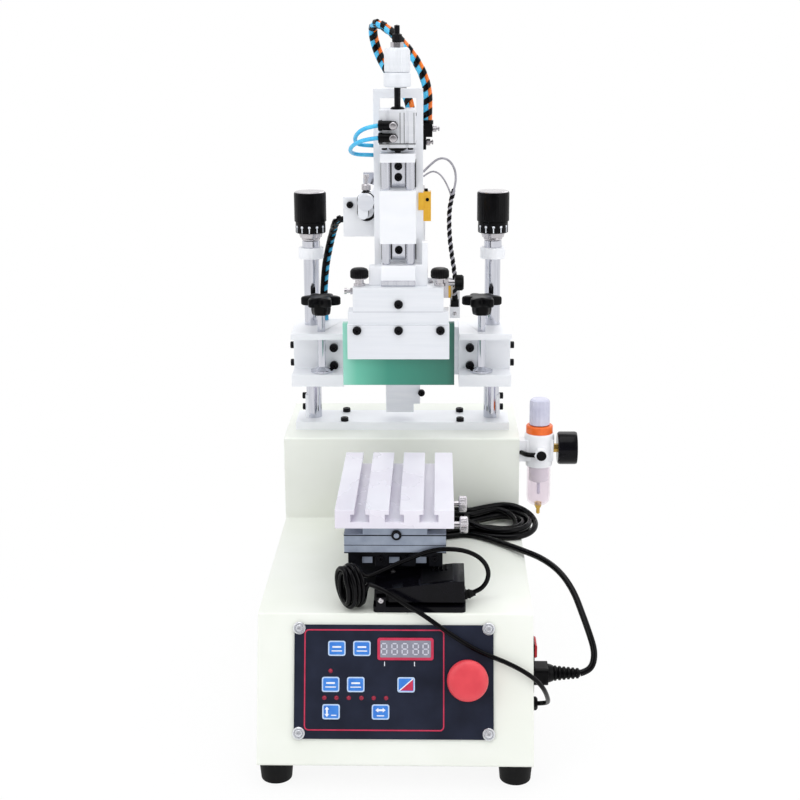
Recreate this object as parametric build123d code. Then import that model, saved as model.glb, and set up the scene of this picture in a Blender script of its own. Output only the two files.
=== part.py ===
from build123d import *
from math import atan2, cos, pi, radians, sin, tan
import os

# Flatbed screen printing machine, millimetres.
# Origin: on the floor, in the middle of the four rubber feet.
# +X to the operator's right, +Y to the back, +Z up.

# Cabinet: a low front box with a leaning face, and a higher rear box
CABINET_WIDTH = 240.0
CABINET_DEPTH = 430.0
FOOT_HEIGHT = 22.0
FRONT_BOX_HEIGHT = 124.3
FACE_LEAN = 44.0
FRONT_BOX_DEPTH = 290.8
REAR_BOX_RISE = 86.7
SHEET_BEND = 2.0

# Rubber feet
FOOT_TOP_RADIUS = 15.5
FOOT_BOTTOM_RADIUS = 13.5
FOOT_INSET_X = 15.0
FOOT_INSET_Y = 22.0
FOOT_SCREW_RADIUS = 4.0
FOOT_SCREW_DEPTH = 14.0

# Control panel on the leaning face
PANEL_WIDTH = 173.0
PANEL_HEIGHT = 98.0
PANEL_THICKNESS = 2.0
PANEL_LOW_EDGE = 24.1
KEY_WIDTH = 15.2
KEY_HEIGHT = 13.0
KEY_RISE = 0.8
KEY_PLACES = [(-50.7, 101.8), (-28.9, 101.8), (-55.9, 70.8), (-34.1, 70.8),
              (9.6, 70.8), (-55.4, 47.4), (-12.5, 47.4)]
DISPLAY_WIDTH = 48.8
DISPLAY_HEIGHT = 19.2
DISPLAY_RISE = 1.2
DISPLAY_PLACE = (9.0, 101.5)
STOP_PLACE = (62.6, 76.0)
STOP_HEAD_RADIUS = 17.8
STOP_HEAD_THICKNESS = 12.0
STOP_STEM_RADIUS = 9.0
STOP_COLLAR_RADIUS = 14.0
STOP_COLLAR_HEIGHT = 4.0
STOP_TRAVEL = 4.0
STOP_CLEARANCE = 1.0

# Power inlet, rocker and cable gland on the right side
INLET_Y = -140.0
INLET_PLATE_THICKNESS = 3.0
INLET_PLATE_WIDTH = 30.0
SOCKET_Z = 76.0
SOCKET_HEIGHT = 26.0
ROCKER_Z = 101.4
ROCKER_WIDTH = 20.0
ROCKER_HEIGHT = 12.0
ROCKER_GAP = 0.8
ROCKER_X = (1.2, 5.5)
ROCKER_ROUND = 1.5
INLET_MARGIN = 4.0
PLUG_WIDTH = 22.0
PLUG_HEIGHT = 16.5
PLUG_LENGTH = 18.0
PLUG_RELIEF_LENGTH = 24.0
PLUG_RELIEF_RADII = (6.5, 4.2)
PLUG_ROUND = 4.0
GLAND_Y = -160.0
GLAND_Z = 56.0
GLAND_RADIUS = 6.5
GLAND_LENGTH = 6.0

# Columns and their plate on the rear box
COLUMN_SETBACK = 55.0
COLUMN_X = 92.8
COLUMN_RADIUS = 8.0
COLUMN_TOP = 420.4
PLATE_HALF_WIDTH = 110.5
PLATE_DEPTH = 48.2
PLATE_THICKNESS = 8.2
COLLAR_RADIUS = 12.7
COLLAR_HEIGHT = 11.4
SCALE_RADIUS = 9.0
SCALE_HEIGHT = 6.8
KNOB_RADIUS = 16.3
KNOB_HEIGHT = 30.5
SKIRT_RADIUS = 15.2
SKIRT_HEIGHT = 11.2
CONE_HEIGHT = 8.0
COLUMN_FOOT_HEIGHT = 24.0
COLUMN_FOOT_X = (-5.0, 8.7)
COLUMN_FOOT_Y = (-6.0, 20.0)
KNOB_STEM_RADIUS = 3.0
KNOB_STEM_HEIGHT = 20.0
KNOB_ROUND = 2.0
KNOB_FLARE = 3.0

# Crosshead on the columns, with a C-shaped frame clamp at each side
CLAMP_LOW_Z = 286.0
CLAMP_HEIGHT = 54.3
CLAMP_INNER_X = 58.0
CLAMP_OUTER_X = 111.0
CLAMP_REACH = 50.8
CLAMP_BACK = 26.2
CLAMP_THROAT = 30.0
CLAMP_TOP_THICKNESS = 6.0
CLAMP_LIP_THICKNESS = 12.0
SPINDLE_X = 81.0
SPINDLE_REACH = 35.8
SPINDLE_RADIUS = 3.9
PAD_RADIUS = 11.5
PAD_HEIGHT = 1.8
PAD_DOME_HEIGHT = 3.4
PAD_DOME_INSET = 2.5
PAD_DOME_RIM = 0.5
STAR_RADIUS = 20.0
STAR_HEIGHT = 9.0
STAR_CORE_SHARE = 0.68
STAR_LOBE_SHARE = 0.3
STAR_LOBES = 6
STAR_LOBE_DROP = 0.8
STAR_HUB_RADIUS = 10.0
STAR_HUB_Z = 357.6
STAR_HUB_HEIGHT = 10.0
BEAM_THICKNESS = 32.0
BEAM_HEIGHT = 50.3
LUG_WIDTH = 35.2
LUG_DROP = 40.3
LUG_THICKNESS = 20.0
LUG_OFFSET = 2.0
LUG_NOTCH_X = 13.0
LUG_NOTCH_HEIGHT = 9.0

# Stroke guide behind the print head
HOUSING_WIDTH = 48.0
HOUSING_DEPTH = 50.0
HOUSING_OFFSET = 1.2
HOUSING_TOP = 486.0
STROKE_ROD_RADIUS = 5.0
STROKE_ROD_SPACING = 22.0
STROKE_ROD_Z = 465.0
STROKE = 65.0
STROKE_END_GAP = 7.0
CYLINDER_X = -33.5
CYLINDER_Z = 473.0
CYLINDER_RADIUS = 8.0
CYLINDER_OVERHANG = 3.0
CYLINDER_NOSE_GAP = 4.0
PISTON_RADIUS = 3.0
BRACKET_OUTER_X = -56.4
BRACKET_LOW_Z = 438.0
BRACKET_HIGH_Z = 477.0
BRACKET_DEPTH = 45.0
BRACKET_LEAD = 22.0
REAR_PLATE_THICKNESS = 8.0
REAR_PLATE_DROP = 13.0
REAR_PLATE_RISE = 12.0
REAR_PLATE_LEFT = 10.0
REAR_PLATE_RIGHT = 9.0
PISTON_INSERT = 10.0

# Print head, carried on the stroke rods
HEAD_X = -1.2
HEAD_SETBACK = 87.8
GUIDE_ROD_RADIUS = 4.2
GUIDE_ROD_SPACING = 23.2
HEAD_PLATE_WIDTH = 47.7
HEAD_PLATE_THICKNESS = 6.0
HEAD_PLATE_SETBACK = 22.0
HEAD_PLATE_LOW_Z = 391.4
HEAD_PLATE_HIGH_Z = 582.2
WINDOW_WIDTH = 35.0
WINDOW_LOW_Z = 556.0
WINDOW_HIGH_Z = 573.3
COVER_WIDTH = 34.5
COVER_LOW_Z = 438.8
COVER_HIGH_Z = 489.0
COVER_FRONT = 12.0
COVER_ROUND = 1.0
CARRIAGE_WIDTH = 36.0
CARRIAGE_DEPTH = 14.0
CARRIAGE_LOW_Z = 445.0
CARRIAGE_HIGH_Z = 485.0
LIFT_CYLINDER_WIDTH = 34.0
LIFT_CYLINDER_LOW_Z = 529.2
LIFT_CYLINDER_HIGH_Z = 564.4
LIFT_CYLINDER_FRONT = 11.0
LIFT_GROOVE_REACH = 9.0
LIFT_GROOVE_WIDTH = 3.0
LIFT_GROOVE_DEPTH = 1.5
TOP_PLATE_WIDTH = 33.4
TOP_PLATE_DEPTH = 26.0
TOP_PLATE_LOW_Z = 515.7
TOP_PLATE_THICKNESS = 8.2
LIFT_ROD_RADIUS = 3.0
LIFT_ROD_TOP = 641.4
STOP_NUT_LOW_Z = 584.8
STOP_FLANGE_RADIUS = 12.8
STOP_FLANGE_HEIGHT = 13.3
STOP_KNOB_RADIUS = 12.4
STOP_KNOB_HEIGHT = 22.7
STOP_KNOB_CHAMFER = 1.5

# Elbows on the lift cylinder, and the union and manifold behind the head plate
ELBOW_Z = (550.5, 539.0)
ELBOW_OFFSET = 3.5
ELBOW_STUD_RADIUS = 4.0
ELBOW_STUD_LENGTH = 10.0
ELBOW_BARREL_RADIUS = 4.4
ELBOW_BARREL_LENGTH = 14.3
UNION_X = (-25.0, -10.0)
UNION_DEPTH = 14.0
UNION_Z = (512.0, 534.0)
MANIFOLD_LEFT = 4.0
MANIFOLD_DEPTH = 17.0
MANIFOLD_STEPS = [(18.0, (527.0, 556.0)), (31.5, (536.0, 549.0)), (25.5, (524.0, 536.0))]
MANIFOLD_SCREWS = [((25.5, 37.5), 530.5), ((31.5, 38.5), 543.5)]
MANIFOLD_SCREW_RADIUS = 3.2

# Sensors: a home sensor behind the head plate and a limit sensor on an arm
HOME_SENSOR_X = (18.0, 30.1)
HOME_SENSOR_DEPTH = 11.0
HOME_SENSOR_Z = (455.0, 483.5)
LIMIT_ARM_THICKNESS = 3.0
LIMIT_ARM_END_X = 58.5
LIMIT_ARM_WIDTH = 9.5
LIMIT_ARM_HEIGHT = 8.0
LIMIT_SENSOR_DEPTH = 12.0
LIMIT_SENSOR_WIDTH = 10.0
LIMIT_SENSOR_Z = (361.7, 379.5)

# Squeegee and its holder
LOWER_BLOCK_WIDTH = 33.2
LOWER_BLOCK_DEPTH = 22.0
LOWER_BLOCK_LOW_Z = 403.2
LOWER_BLOCK_HEIGHT = 14.2
LOWER_BLOCK_FRONT = 10.0
LOWER_EAR_FRONT = 3.0
LOWER_EAR_REACH = 28.3
LOWER_EAR_STEP = 2.0
LOWER_TAB_WIDTH = 5.5
RIB_PLATE_THICKNESS = 5.9
BAR_WIDTH = 87.0
BAR_HEIGHT = 23.2
BAR_FRONT = 18.0
BAR_BACK = 6.0
BAND_WIDTH = 97.0
BAND_HEIGHT = 12.3
BLADE_WIDTH = 108.2
BLADE_THICKNESS = 9.0
BLADE_LOW_Z = 300.2
BLADE_FRONT = 12.0
GRIP_WIDTH = 98.3
GRIP_HEIGHT = 33.9
GRIP_THICKNESS = 8.0
BACKING_THICKNESS = 6.0
THUMB_SPACING = 77.6
THUMB_RADIUS = 8.9
THUMB_STEM_RADIUS = 4.2
THUMB_STEM_HEIGHT = 7.6
THUMB_HEIGHT = 9.8
THUMB_SETBACK = 4.0
THUMB_ROUND = 3.0
ANGLE_BASE_THICKNESS = 4.7
ANGLE_BASE_DEPTH = 10.0
ANGLE_BASE_Z = (-12.0, 8.0)
ANGLE_STEM_RADIUS = 3.0
ANGLE_KNOB_RISE = 2.0
ANGLE_KNOB_ROUND = 2.0
ANGLE_KNOB_REACH = 10.7
ANGLE_KNOB_LENGTH = 9.0
ANGLE_KNOB_RADIUS = 7.6

# Table and its stage
TABLE_X = -0.8
TABLE_WIDTH = 103.7
TABLE_LENGTH = 172.5
TABLE_TOP = 235.7
TABLE_THICKNESS = 17.0
TABLE_FROM_REAR_BOX = 58.3
SLOT_SPACING = 30.0
SLOT_MOUTH = 9.5
SLOT_INNER = 16.5
SLOT_LIP = 4.3
SLOT_INNER_HEIGHT = 7.0
SADDLE_WIDTH = 57.0
SADDLE_HEIGHT = 10.2
STAGE_WIDTH = 90.0
STAGE_TOP_THICKNESS = 17.3
STAGE_MIDDLE_WIDTH = 84.0
STAGE_MIDDLE_THICKNESS = 15.0
STAGE_BASE_WIDTH = 76.0
STAGE_BASE_LENGTH = 107.0
STAGE_TOP_Y = (15.0, 7.5)
STAGE_MIDDLE_Y = (20.0, 10.5)
STAGE_BASE_SETBACK = 17.5
STAGE_NOTCH_SPACING = 24.0
STAGE_NOTCH_WIDTH = 12.0
STAGE_NOTCH_DEPTH = 8.0
STAGE_NOTCH_TOP = 6.0
TABLE_KNOB_RADIUS = 7.5
TABLE_KNOB_LENGTH = 8.0
TABLE_KNOB_SPACING = 57.0
TABLE_KNOB_GAP = 5.0
TABLE_KNOB_SHAFT_RADIUS = 3.0
TABLE_KNOB_CHAMFER = 1.0
TABLE_KNOB_SETBACK = 26.5

# Foot pedal, stored on the front box; its treadle is hinged at the left
PEDAL_LEFT = -19.5
PEDAL_RIGHT = 61.4
PEDAL_FRONT = -169.0
PEDAL_DEPTH = 50.0
PEDAL_BASE_HEIGHT = 5.0
PEDAL_TOP_LEFT = 19.0
PEDAL_TOP_RIGHT = 27.5
PEDAL_END_FLAT = 9.0
PEDAL_GAP = 3.0
PEDAL_ROUND = 4.0
PEDAL_TREADLE_X = (1.0, 1.0)
PEDAL_TREADLE_Y = (3.5, 1.0)
PEDAL_HINGE_INSET = 6.9
PEDAL_HINGE_RISE = 3.0
PEDAL_HINGE_RADIUS = 2.2
PEDAL_EAR_HALF_WIDTH = 4.2
PEDAL_EAR_DEPTH = 5.0
PEDAL_EAR_GAP = 2.0
PEDAL_EAR_SIDE_GAP = 0.6
PEDAL_INLET_Y = -143.0
PEDAL_INLET_WIDTH = 12.0
PEDAL_INLET_DEPTH = 8.0
PEDAL_INLET_HEIGHT = 12.0
PEDAL_INLET_GAP = 2.5

# Air filter and regulator at the right of the rear box
AIR_OUT = 20.5
AIR_SETBACK = 9.2
AIR_BODY_RADIUS = 15.4
AIR_BODY_LOW_Z = 202.0
AIR_BODY_HEIGHT = 35.0
AIR_RING_RADIUS = 13.6
AIR_RING_HEIGHT = 8.0
AIR_KNOB_RADIUS = 10.4
AIR_KNOB_HEIGHT = 27.0
AIR_BOWL_RADIUS = 12.2
AIR_BOWL_HEIGHT = 42.0
AIR_DRAIN_RADIUS = 3.0
AIR_DRAIN_HEIGHT = 10.5
AIR_FLAT_LEFT = 2.5
AIR_FLAT_RIGHT = 1.5
AIR_PORT_OFFSET = 1.0
AIR_PORT_RADIUS = 5.0
AIR_PORT_Y = (6.0, 8.0)
AIR_BRACKET_WIDTH = 16.0
AIR_BRACKET_Z = (208.0, 230.0)
AIR_KNOB_ROUND = 2.5
AIR_BOWL_ROUND = 4.0
GAUGE_NIPPLE_RADIUS = 4.5
GAUGE_NIPPLE_LENGTH = 4.5
GAUGE_ROUND = 1.5
GAUGE_RADIUS = 16.8
GAUGE_DEPTH = 20.0
GAUGE_Z = 220.4

# Cords: diameters
PEDAL_CORD = 4.2
POWER_CORD = 6.0
TOP_HOSE = 9.0
LEFT_HOSE = 8.0
SENSOR_CORD = 4.6
AIR_TUBE = 4.0
FILTER_TUBE = 5.0
FILTER_TUBE_Z = 218.0

# Bundles of cord on the deck, and the plug at the power lead's end
PEDAL_HANK_X = (-53.5, -22.5)
PEDAL_HANK_Y = (-173.5, -146.0)
PEDAL_HANK_HEIGHT = 42.0
PEDAL_HANK_ROUND = 8.0
POWER_HANK_X = (0.0, 138.0)
POWER_HANK_END_RADIUS = 32.4
POWER_HANK_WALL_GAP = 0.8
POWER_HANK_WAIST_X = 66.0
POWER_HANK_WAIST_FORWARD = 6.2
POWER_HANK_WAIST_RADIUS = 16.7
POWER_HANK_HEIGHT = 20.5
POWER_HANK_ROUND = 5.0
POWER_HANK_EYE_RADIUS = 15.0
POWER_HANK_EYE_INSET = 41.0
POWER_HANK_EYE_BACK = 2.6
POWER_HANK_EYE_TIP_X = 78.0
POWER_HANK_EYE_TIP_RADIUS = 3.0
MAINS_PLUG_X = (-42.0, -10.0)
MAINS_PLUG_WIDTH = 28.0
MAINS_PLUG_HEIGHT = 22.0
MAINS_PLUG_ROUND = 5.0
MAINS_RELIEF_END_X = 2.2
MAINS_RELIEF_RADIUS = 5.0
MAINS_RELIEF_RISE = 10.0

# Clearances
RUN_GAP = 0.05
SLIDE_GAP = 0.2
REST_GAP = 0.3
SEAT_GAP = 0.02
STEM_END_GAP = 1.0

# Places worked out from the sizes above
SIDE_X = CABINET_WIDTH / 2
FRONT_Y = -CABINET_DEPTH / 2
BACK_Y = CABINET_DEPTH / 2
DECK_Z = FOOT_HEIGHT + FRONT_BOX_HEIGHT
REAR_TOP_Z = DECK_Z + REAR_BOX_RISE
REAR_BOX_Y = FRONT_Y + FRONT_BOX_DEPTH
FACE_ANGLE = atan2(FACE_LEAN, FRONT_BOX_HEIGHT)
FACE = Plane(origin=(0, FRONT_Y, FOOT_HEIGHT), x_dir=(1, 0, 0),
             z_dir=(0, -cos(FACE_ANGLE), sin(FACE_ANGLE)))
PANEL_X = -1.2
PANEL_MIDDLE = PANEL_LOW_EDGE + PANEL_HEIGHT / 2
COLUMN_Y = REAR_BOX_Y + COLUMN_SETBACK
PLATE_TOP = REAR_TOP_Z + PLATE_THICKNESS
CLAMP_HIGH_Z = CLAMP_LOW_Z + CLAMP_HEIGHT
CLAMP_FRONT_Y = COLUMN_Y - CLAMP_REACH
CLAMP_BACK_Y = COLUMN_Y + CLAMP_BACK
SPINDLE_Y = COLUMN_Y - SPINDLE_REACH
PAD_LOW_Z = CLAMP_LOW_Z + CLAMP_LIP_THICKNESS + REST_GAP
HOUSING_FRONT_Y = COLUMN_Y - HOUSING_DEPTH / 2 + HOUSING_OFFSET
HOUSING_BACK_Y = HOUSING_FRONT_Y + HOUSING_DEPTH
BRACKET_FRONT_Y = HOUSING_FRONT_Y - BRACKET_LEAD
CYLINDER_BACK_Y = HOUSING_BACK_Y + CYLINDER_OVERHANG
REAR_PLATE_Y = CYLINDER_BACK_Y + STROKE + STROKE_END_GAP
HEAD_Y = COLUMN_Y - HEAD_SETBACK
BLADE_Y = HEAD_Y - BLADE_FRONT
HEAD_PLATE_Y = HEAD_Y + HEAD_PLATE_SETBACK
HEAD_BACK_Y = HEAD_PLATE_Y + HEAD_PLATE_THICKNESS
CARRIAGE_BACK_Y = HEAD_BACK_Y + CARRIAGE_DEPTH
LOWER_BLOCK_HIGH_Z = LOWER_BLOCK_LOW_Z + LOWER_BLOCK_HEIGHT
BAR_TOP_Z = LOWER_BLOCK_LOW_Z - RIB_PLATE_THICKNESS
BAR_LOW_Z = BAR_TOP_Z - BAR_HEIGHT
BAND_LOW_Z = BAR_LOW_Z - BAND_HEIGHT
TABLE_BACK_Y = REAR_BOX_Y - TABLE_FROM_REAR_BOX
TABLE_FRONT_Y = TABLE_BACK_Y - TABLE_LENGTH
TABLE_LOW_Z = TABLE_TOP - TABLE_THICKNESS
TABLE_KNOB_Y = TABLE_FRONT_Y + TABLE_KNOB_SETBACK
SADDLE_TOP_Z = TABLE_LOW_Z - SLIDE_GAP
STAGE_TOP_Z = SADDLE_TOP_Z - SADDLE_HEIGHT
STAGE_MIDDLE_TOP_Z = STAGE_TOP_Z - STAGE_TOP_THICKNESS
STAGE_BASE_TOP_Z = STAGE_MIDDLE_TOP_Z - STAGE_MIDDLE_THICKNESS
POWER_HANK_Y = REAR_BOX_Y - POWER_HANK_WALL_GAP - POWER_HANK_END_RADIUS
POWER_HANK_WAIST_Y = POWER_HANK_Y - POWER_HANK_WAIST_FORWARD
AIR_X = SIDE_X + AIR_OUT
AIR_Y = REAR_BOX_Y + AIR_SETBACK
AIR_BODY_TOP_Z = AIR_BODY_LOW_Z + AIR_BODY_HEIGHT


def block(x, y, z):
    """A box from its low and high limits along each axis."""
    size = (x[1] - x[0], y[1] - y[0], z[1] - z[0])
    middle = ((x[0] + x[1]) / 2, (y[0] + y[1]) / 2, (z[0] + z[1]) / 2)
    return Pos(*middle) * Box(*size)


def around(middle, width):
    """Low and high limit of a width about its middle."""
    return (middle - width / 2, middle + width / 2)


def post(x, y, z, radius):
    """An upright cylinder; z holds its low and high end."""
    return Pos(x, y, (z[0] + z[1]) / 2) * Cylinder(radius, z[1] - z[0])


def bar_x(x, y, z, radius):
    """A cylinder along X; x holds its two ends."""
    return Pos((x[0] + x[1]) / 2, y, z) * Rot(0, 90, 0) * Cylinder(radius, x[1] - x[0])


def bar_y(x, y, z, radius):
    """A cylinder along Y; y holds its two ends."""
    return Pos(x, (y[0] + y[1]) / 2, z) * Rot(90, 0, 0) * Cylinder(radius, y[1] - y[0])


def prism(points, x):
    """An outline in the YZ plane, pushed from x[0] to x[1]."""
    outline = Polyline(*[(x[0], y, z) for y, z in points], close=True)
    return extrude(make_face(outline), amount=x[1] - x[0], dir=(1, 0, 0))


def save(name, shape):
    """Write one piece to its own file."""
    shape.label = name
    export_step(shape, f"parts/{name}.step")


def bend_radii(points):
    """The largest radius that each corner of a route has room for."""
    radii = []
    for before, here, after in zip(points, points[1:], points[2:]):
        run_in = Vector(*here) - Vector(*before)
        run_out = Vector(*after) - Vector(*here)
        turn = radians(run_in.get_angle(run_out))
        radii.append(0.45 * min(run_in.length, run_out.length) / tan(turn / 2))
    return radii


def cord(name, points, diameter):
    """A tube along a route of straight runs and tangent arcs."""
    radii = bend_radii(points)
    path = FilletPolyline(*points, radius=radii)
    section = Plane(origin=path @ 0, z_dir=path % 0) * Circle(diameter / 2)
    tube = sweep(section, path=path)
    share = tube.volume / (pi * diameter ** 2 / 4 * path.length)
    print(name, "length", round(path.length, 1), "least radius", round(min(radii), 1),
          "volume share", round(share, 4), "radii", [round(r) for r in radii])
    save(name, tube)


def cabinet():
    outline = [(FRONT_Y, FOOT_HEIGHT), (FRONT_Y + FACE_LEAN, DECK_Z), (REAR_BOX_Y, DECK_Z),
               (REAR_BOX_Y, REAR_TOP_Z), (BACK_Y, REAR_TOP_Z), (BACK_Y, FOOT_HEIGHT)]
    body = prism(outline, (-SIDE_X, SIDE_X))
    return fillet(body.edges().filter_by(Axis.X), SHEET_BEND)


def rubber_feet():
    feet = []
    for side in (-1, 1):
        for end in (-1, 1):
            foot = Cone(FOOT_BOTTOM_RADIUS, FOOT_TOP_RADIUS, FOOT_HEIGHT)
            foot = Pos(0, 0, FOOT_HEIGHT / 2) * foot
            foot = fillet(foot.edges().sort_by(Axis.Z)[0], SHEET_BEND)
            foot -= post(0, 0, (0, FOOT_SCREW_DEPTH), FOOT_SCREW_RADIUS)
            place = Pos(side * (SIDE_X - FOOT_INSET_X), end * (BACK_Y - FOOT_INSET_Y), 0)
            feet.append(place * foot)
    return Compound(children=feet)


def control_panel():
    plate = Box(PANEL_WIDTH, PANEL_HEIGHT, PANEL_THICKNESS)
    plate = fillet(plate.edges().filter_by(Axis.Z), SHEET_BEND)
    collar_z = (PANEL_THICKNESS, PANEL_THICKNESS + STOP_COLLAR_HEIGHT)
    collar = post(*STOP_PLACE, collar_z, STOP_COLLAR_RADIUS)
    collar -= post(*STOP_PLACE, collar_z, STOP_STEM_RADIUS + RUN_GAP)
    return FACE * (Pos(PANEL_X, PANEL_MIDDLE, PANEL_THICKNESS / 2) * plate + collar)


def panel_keys():
    keys = []
    for u, v in KEY_PLACES:
        key = Box(KEY_WIDTH, KEY_HEIGHT, KEY_RISE)
        key = fillet(key.edges().filter_by(Axis.Z), SHEET_BEND)
        keys.append(FACE * Pos(u, v, PANEL_THICKNESS + KEY_RISE / 2) * key)
    window = Box(DISPLAY_WIDTH, DISPLAY_HEIGHT, DISPLAY_RISE)
    window = fillet(window.edges().filter_by(Axis.Z), SHEET_BEND)
    keys.append(FACE * Pos(*DISPLAY_PLACE, PANEL_THICKNESS + DISPLAY_RISE / 2) * window)
    return Compound(children=keys)


def emergency_stop_button():
    head_low = STOP_COLLAR_HEIGHT + STOP_TRAVEL + STOP_CLEARANCE
    head = post(0, 0, (head_low, head_low + STOP_HEAD_THICKNESS), STOP_HEAD_RADIUS)
    head = fillet(head.edges().sort_by(Axis.Z)[-1], STOP_HEAD_THICKNESS / 2)
    stem = post(0, 0, (STOP_TRAVEL + REST_GAP, head_low), STOP_STEM_RADIUS)
    return FACE * Pos(*STOP_PLACE, PANEL_THICKNESS) * (head + stem)


def power_inlet():
    low = SOCKET_Z - SOCKET_HEIGHT / 2
    high = ROCKER_Z + ROCKER_HEIGHT / 2 + INLET_MARGIN
    x = (SIDE_X, SIDE_X + INLET_PLATE_THICKNESS)
    plate = block(x, around(INLET_Y, INLET_PLATE_WIDTH), (low, high))
    pocket_y = around(INLET_Y, ROCKER_WIDTH + 2 * ROCKER_GAP)
    pocket_z = around(ROCKER_Z, ROCKER_HEIGHT + 2 * ROCKER_GAP)
    return plate - block(x, pocket_y, pocket_z)


def power_rocker():
    x = (SIDE_X + ROCKER_X[0], SIDE_X + ROCKER_X[1])
    body = block(x, around(INLET_Y, ROCKER_WIDTH), around(ROCKER_Z, ROCKER_HEIGHT))
    return fillet(body.edges().filter_by(Axis.Y).sort_by(Axis.X)[-2:], ROCKER_ROUND)


def iec_plug():
    start = SIDE_X + INLET_PLATE_THICKNESS
    body = block((start, start + PLUG_LENGTH), around(INLET_Y, PLUG_WIDTH),
                 around(SOCKET_Z, PLUG_HEIGHT))
    body = fillet(body.edges().filter_by(Axis.X), PLUG_ROUND)
    relief = Cone(*PLUG_RELIEF_RADII, PLUG_RELIEF_LENGTH)
    middle = start + PLUG_LENGTH + PLUG_RELIEF_LENGTH / 2
    return body + Pos(middle, INLET_Y, SOCKET_Z) * Rot(0, 90, 0) * relief


def cable_gland():
    return bar_x((SIDE_X, SIDE_X + GLAND_LENGTH), GLAND_Y, GLAND_Z, GLAND_RADIUS)


def column_plate():
    plate = block((-PLATE_HALF_WIDTH, PLATE_HALF_WIDTH), around(COLUMN_Y, PLATE_DEPTH),
                  (REAR_TOP_Z, PLATE_TOP))
    for side in (-1, 1):
        x = sorted(side * (COLUMN_X + reach) for reach in COLUMN_FOOT_X)
        z = (PLATE_TOP, PLATE_TOP + COLUMN_FOOT_HEIGHT)
        foot = block(x, (COLUMN_Y + COLUMN_FOOT_Y[0], COLUMN_Y + COLUMN_FOOT_Y[1]), z)
        plate += foot - post(side * COLUMN_X, COLUMN_Y, z, COLUMN_RADIUS + SEAT_GAP)
    return plate


def column(side):
    shaft = post(side * COLUMN_X, COLUMN_Y, (PLATE_TOP, COLUMN_TOP), COLUMN_RADIUS)
    scale = post(side * COLUMN_X, COLUMN_Y, (COLUMN_TOP, COLUMN_TOP + SCALE_HEIGHT), SCALE_RADIUS)
    stem_z = (COLUMN_TOP + SCALE_HEIGHT, COLUMN_TOP + SCALE_HEIGHT + KNOB_STEM_HEIGHT)
    stem = post(side * COLUMN_X, COLUMN_Y, stem_z, KNOB_STEM_RADIUS)
    return shaft + scale + stem


def column_collar(side):
    z = (COLUMN_TOP - COLLAR_HEIGHT, COLUMN_TOP)
    ring = post(side * COLUMN_X, COLUMN_Y, z, COLLAR_RADIUS)
    return ring - post(side * COLUMN_X, COLUMN_Y, z, COLUMN_RADIUS + SEAT_GAP)


def height_knob(side):
    low = COLUMN_TOP + SCALE_HEIGHT + REST_GAP
    cone_top = low + CONE_HEIGHT
    skirt_top = cone_top + SKIRT_HEIGHT
    cone = Pos(0, 0, (low + cone_top) / 2) * Cone(SCALE_RADIUS, SCALE_RADIUS + KNOB_FLARE, CONE_HEIGHT)
    skirt = post(0, 0, (cone_top, skirt_top), SKIRT_RADIUS)
    body = post(0, 0, (skirt_top, skirt_top + KNOB_HEIGHT), KNOB_RADIUS)
    body = fillet(body.edges().sort_by(Axis.Z)[-1], KNOB_ROUND)
    knob = cone + skirt + body
    bore_top = COLUMN_TOP + SCALE_HEIGHT + KNOB_STEM_HEIGHT + STEM_END_GAP
    knob -= post(0, 0, (low, bore_top), KNOB_STEM_RADIUS + RUN_GAP)
    return Pos(side * COLUMN_X, COLUMN_Y, 0) * knob


def clamp_block(side):
    throat_low = CLAMP_LOW_Z + CLAMP_LIP_THICKNESS
    throat_high = CLAMP_HIGH_Z - CLAMP_TOP_THICKNESS
    wall_y = CLAMP_FRONT_Y + CLAMP_THROAT
    outline = [(CLAMP_FRONT_Y, CLAMP_LOW_Z), (CLAMP_FRONT_Y, throat_low), (wall_y, throat_low),
               (wall_y, throat_high), (CLAMP_FRONT_Y, throat_high), (CLAMP_FRONT_Y, CLAMP_HIGH_Z),
               (CLAMP_BACK_Y, CLAMP_HIGH_Z), (CLAMP_BACK_Y, CLAMP_LOW_Z)]
    body = prism(outline, sorted((side * CLAMP_INNER_X, side * CLAMP_OUTER_X)))
    height = (CLAMP_LOW_Z, CLAMP_HIGH_Z)
    body -= post(side * COLUMN_X, COLUMN_Y, height, COLUMN_RADIUS + RUN_GAP)
    return body - post(side * SPINDLE_X, SPINDLE_Y, (throat_high, CLAMP_HIGH_Z),
                       SPINDLE_RADIUS + RUN_GAP)


def clamp_spindle(side):
    pad_top = PAD_LOW_Z + PAD_HEIGHT
    pad = post(0, 0, (PAD_LOW_Z, pad_top), PAD_RADIUS)
    dome = Cone(PAD_RADIUS - PAD_DOME_INSET, SPINDLE_RADIUS + PAD_DOME_RIM, PAD_DOME_HEIGHT)
    dome = Pos(0, 0, pad_top + PAD_DOME_HEIGHT / 2) * dome
    shaft = post(0, 0, (pad_top, STAR_HUB_Z), SPINDLE_RADIUS)
    return Pos(side * SPINDLE_X, SPINDLE_Y, 0) * (pad + dome + shaft)


def star_knob(side):
    wing_low = STAR_HUB_Z + STAR_HUB_HEIGHT
    hub = post(0, 0, (STAR_HUB_Z, wing_low), STAR_HUB_RADIUS)
    core = post(0, 0, (wing_low, wing_low + STAR_HEIGHT), STAR_RADIUS * STAR_CORE_SHARE)
    knob = hub + core
    lobe_radius = STAR_RADIUS * STAR_LOBE_SHARE
    lobe_z = (wing_low, wing_low + STAR_HEIGHT - STAR_LOBE_DROP)
    reach = STAR_RADIUS - lobe_radius
    for lobe in range(STAR_LOBES):
        angle = 2 * pi * lobe / STAR_LOBES
        knob += post(reach * cos(angle), reach * sin(angle), lobe_z, lobe_radius)
    return Pos(side * SPINDLE_X, SPINDLE_Y, 0) * knob


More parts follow.
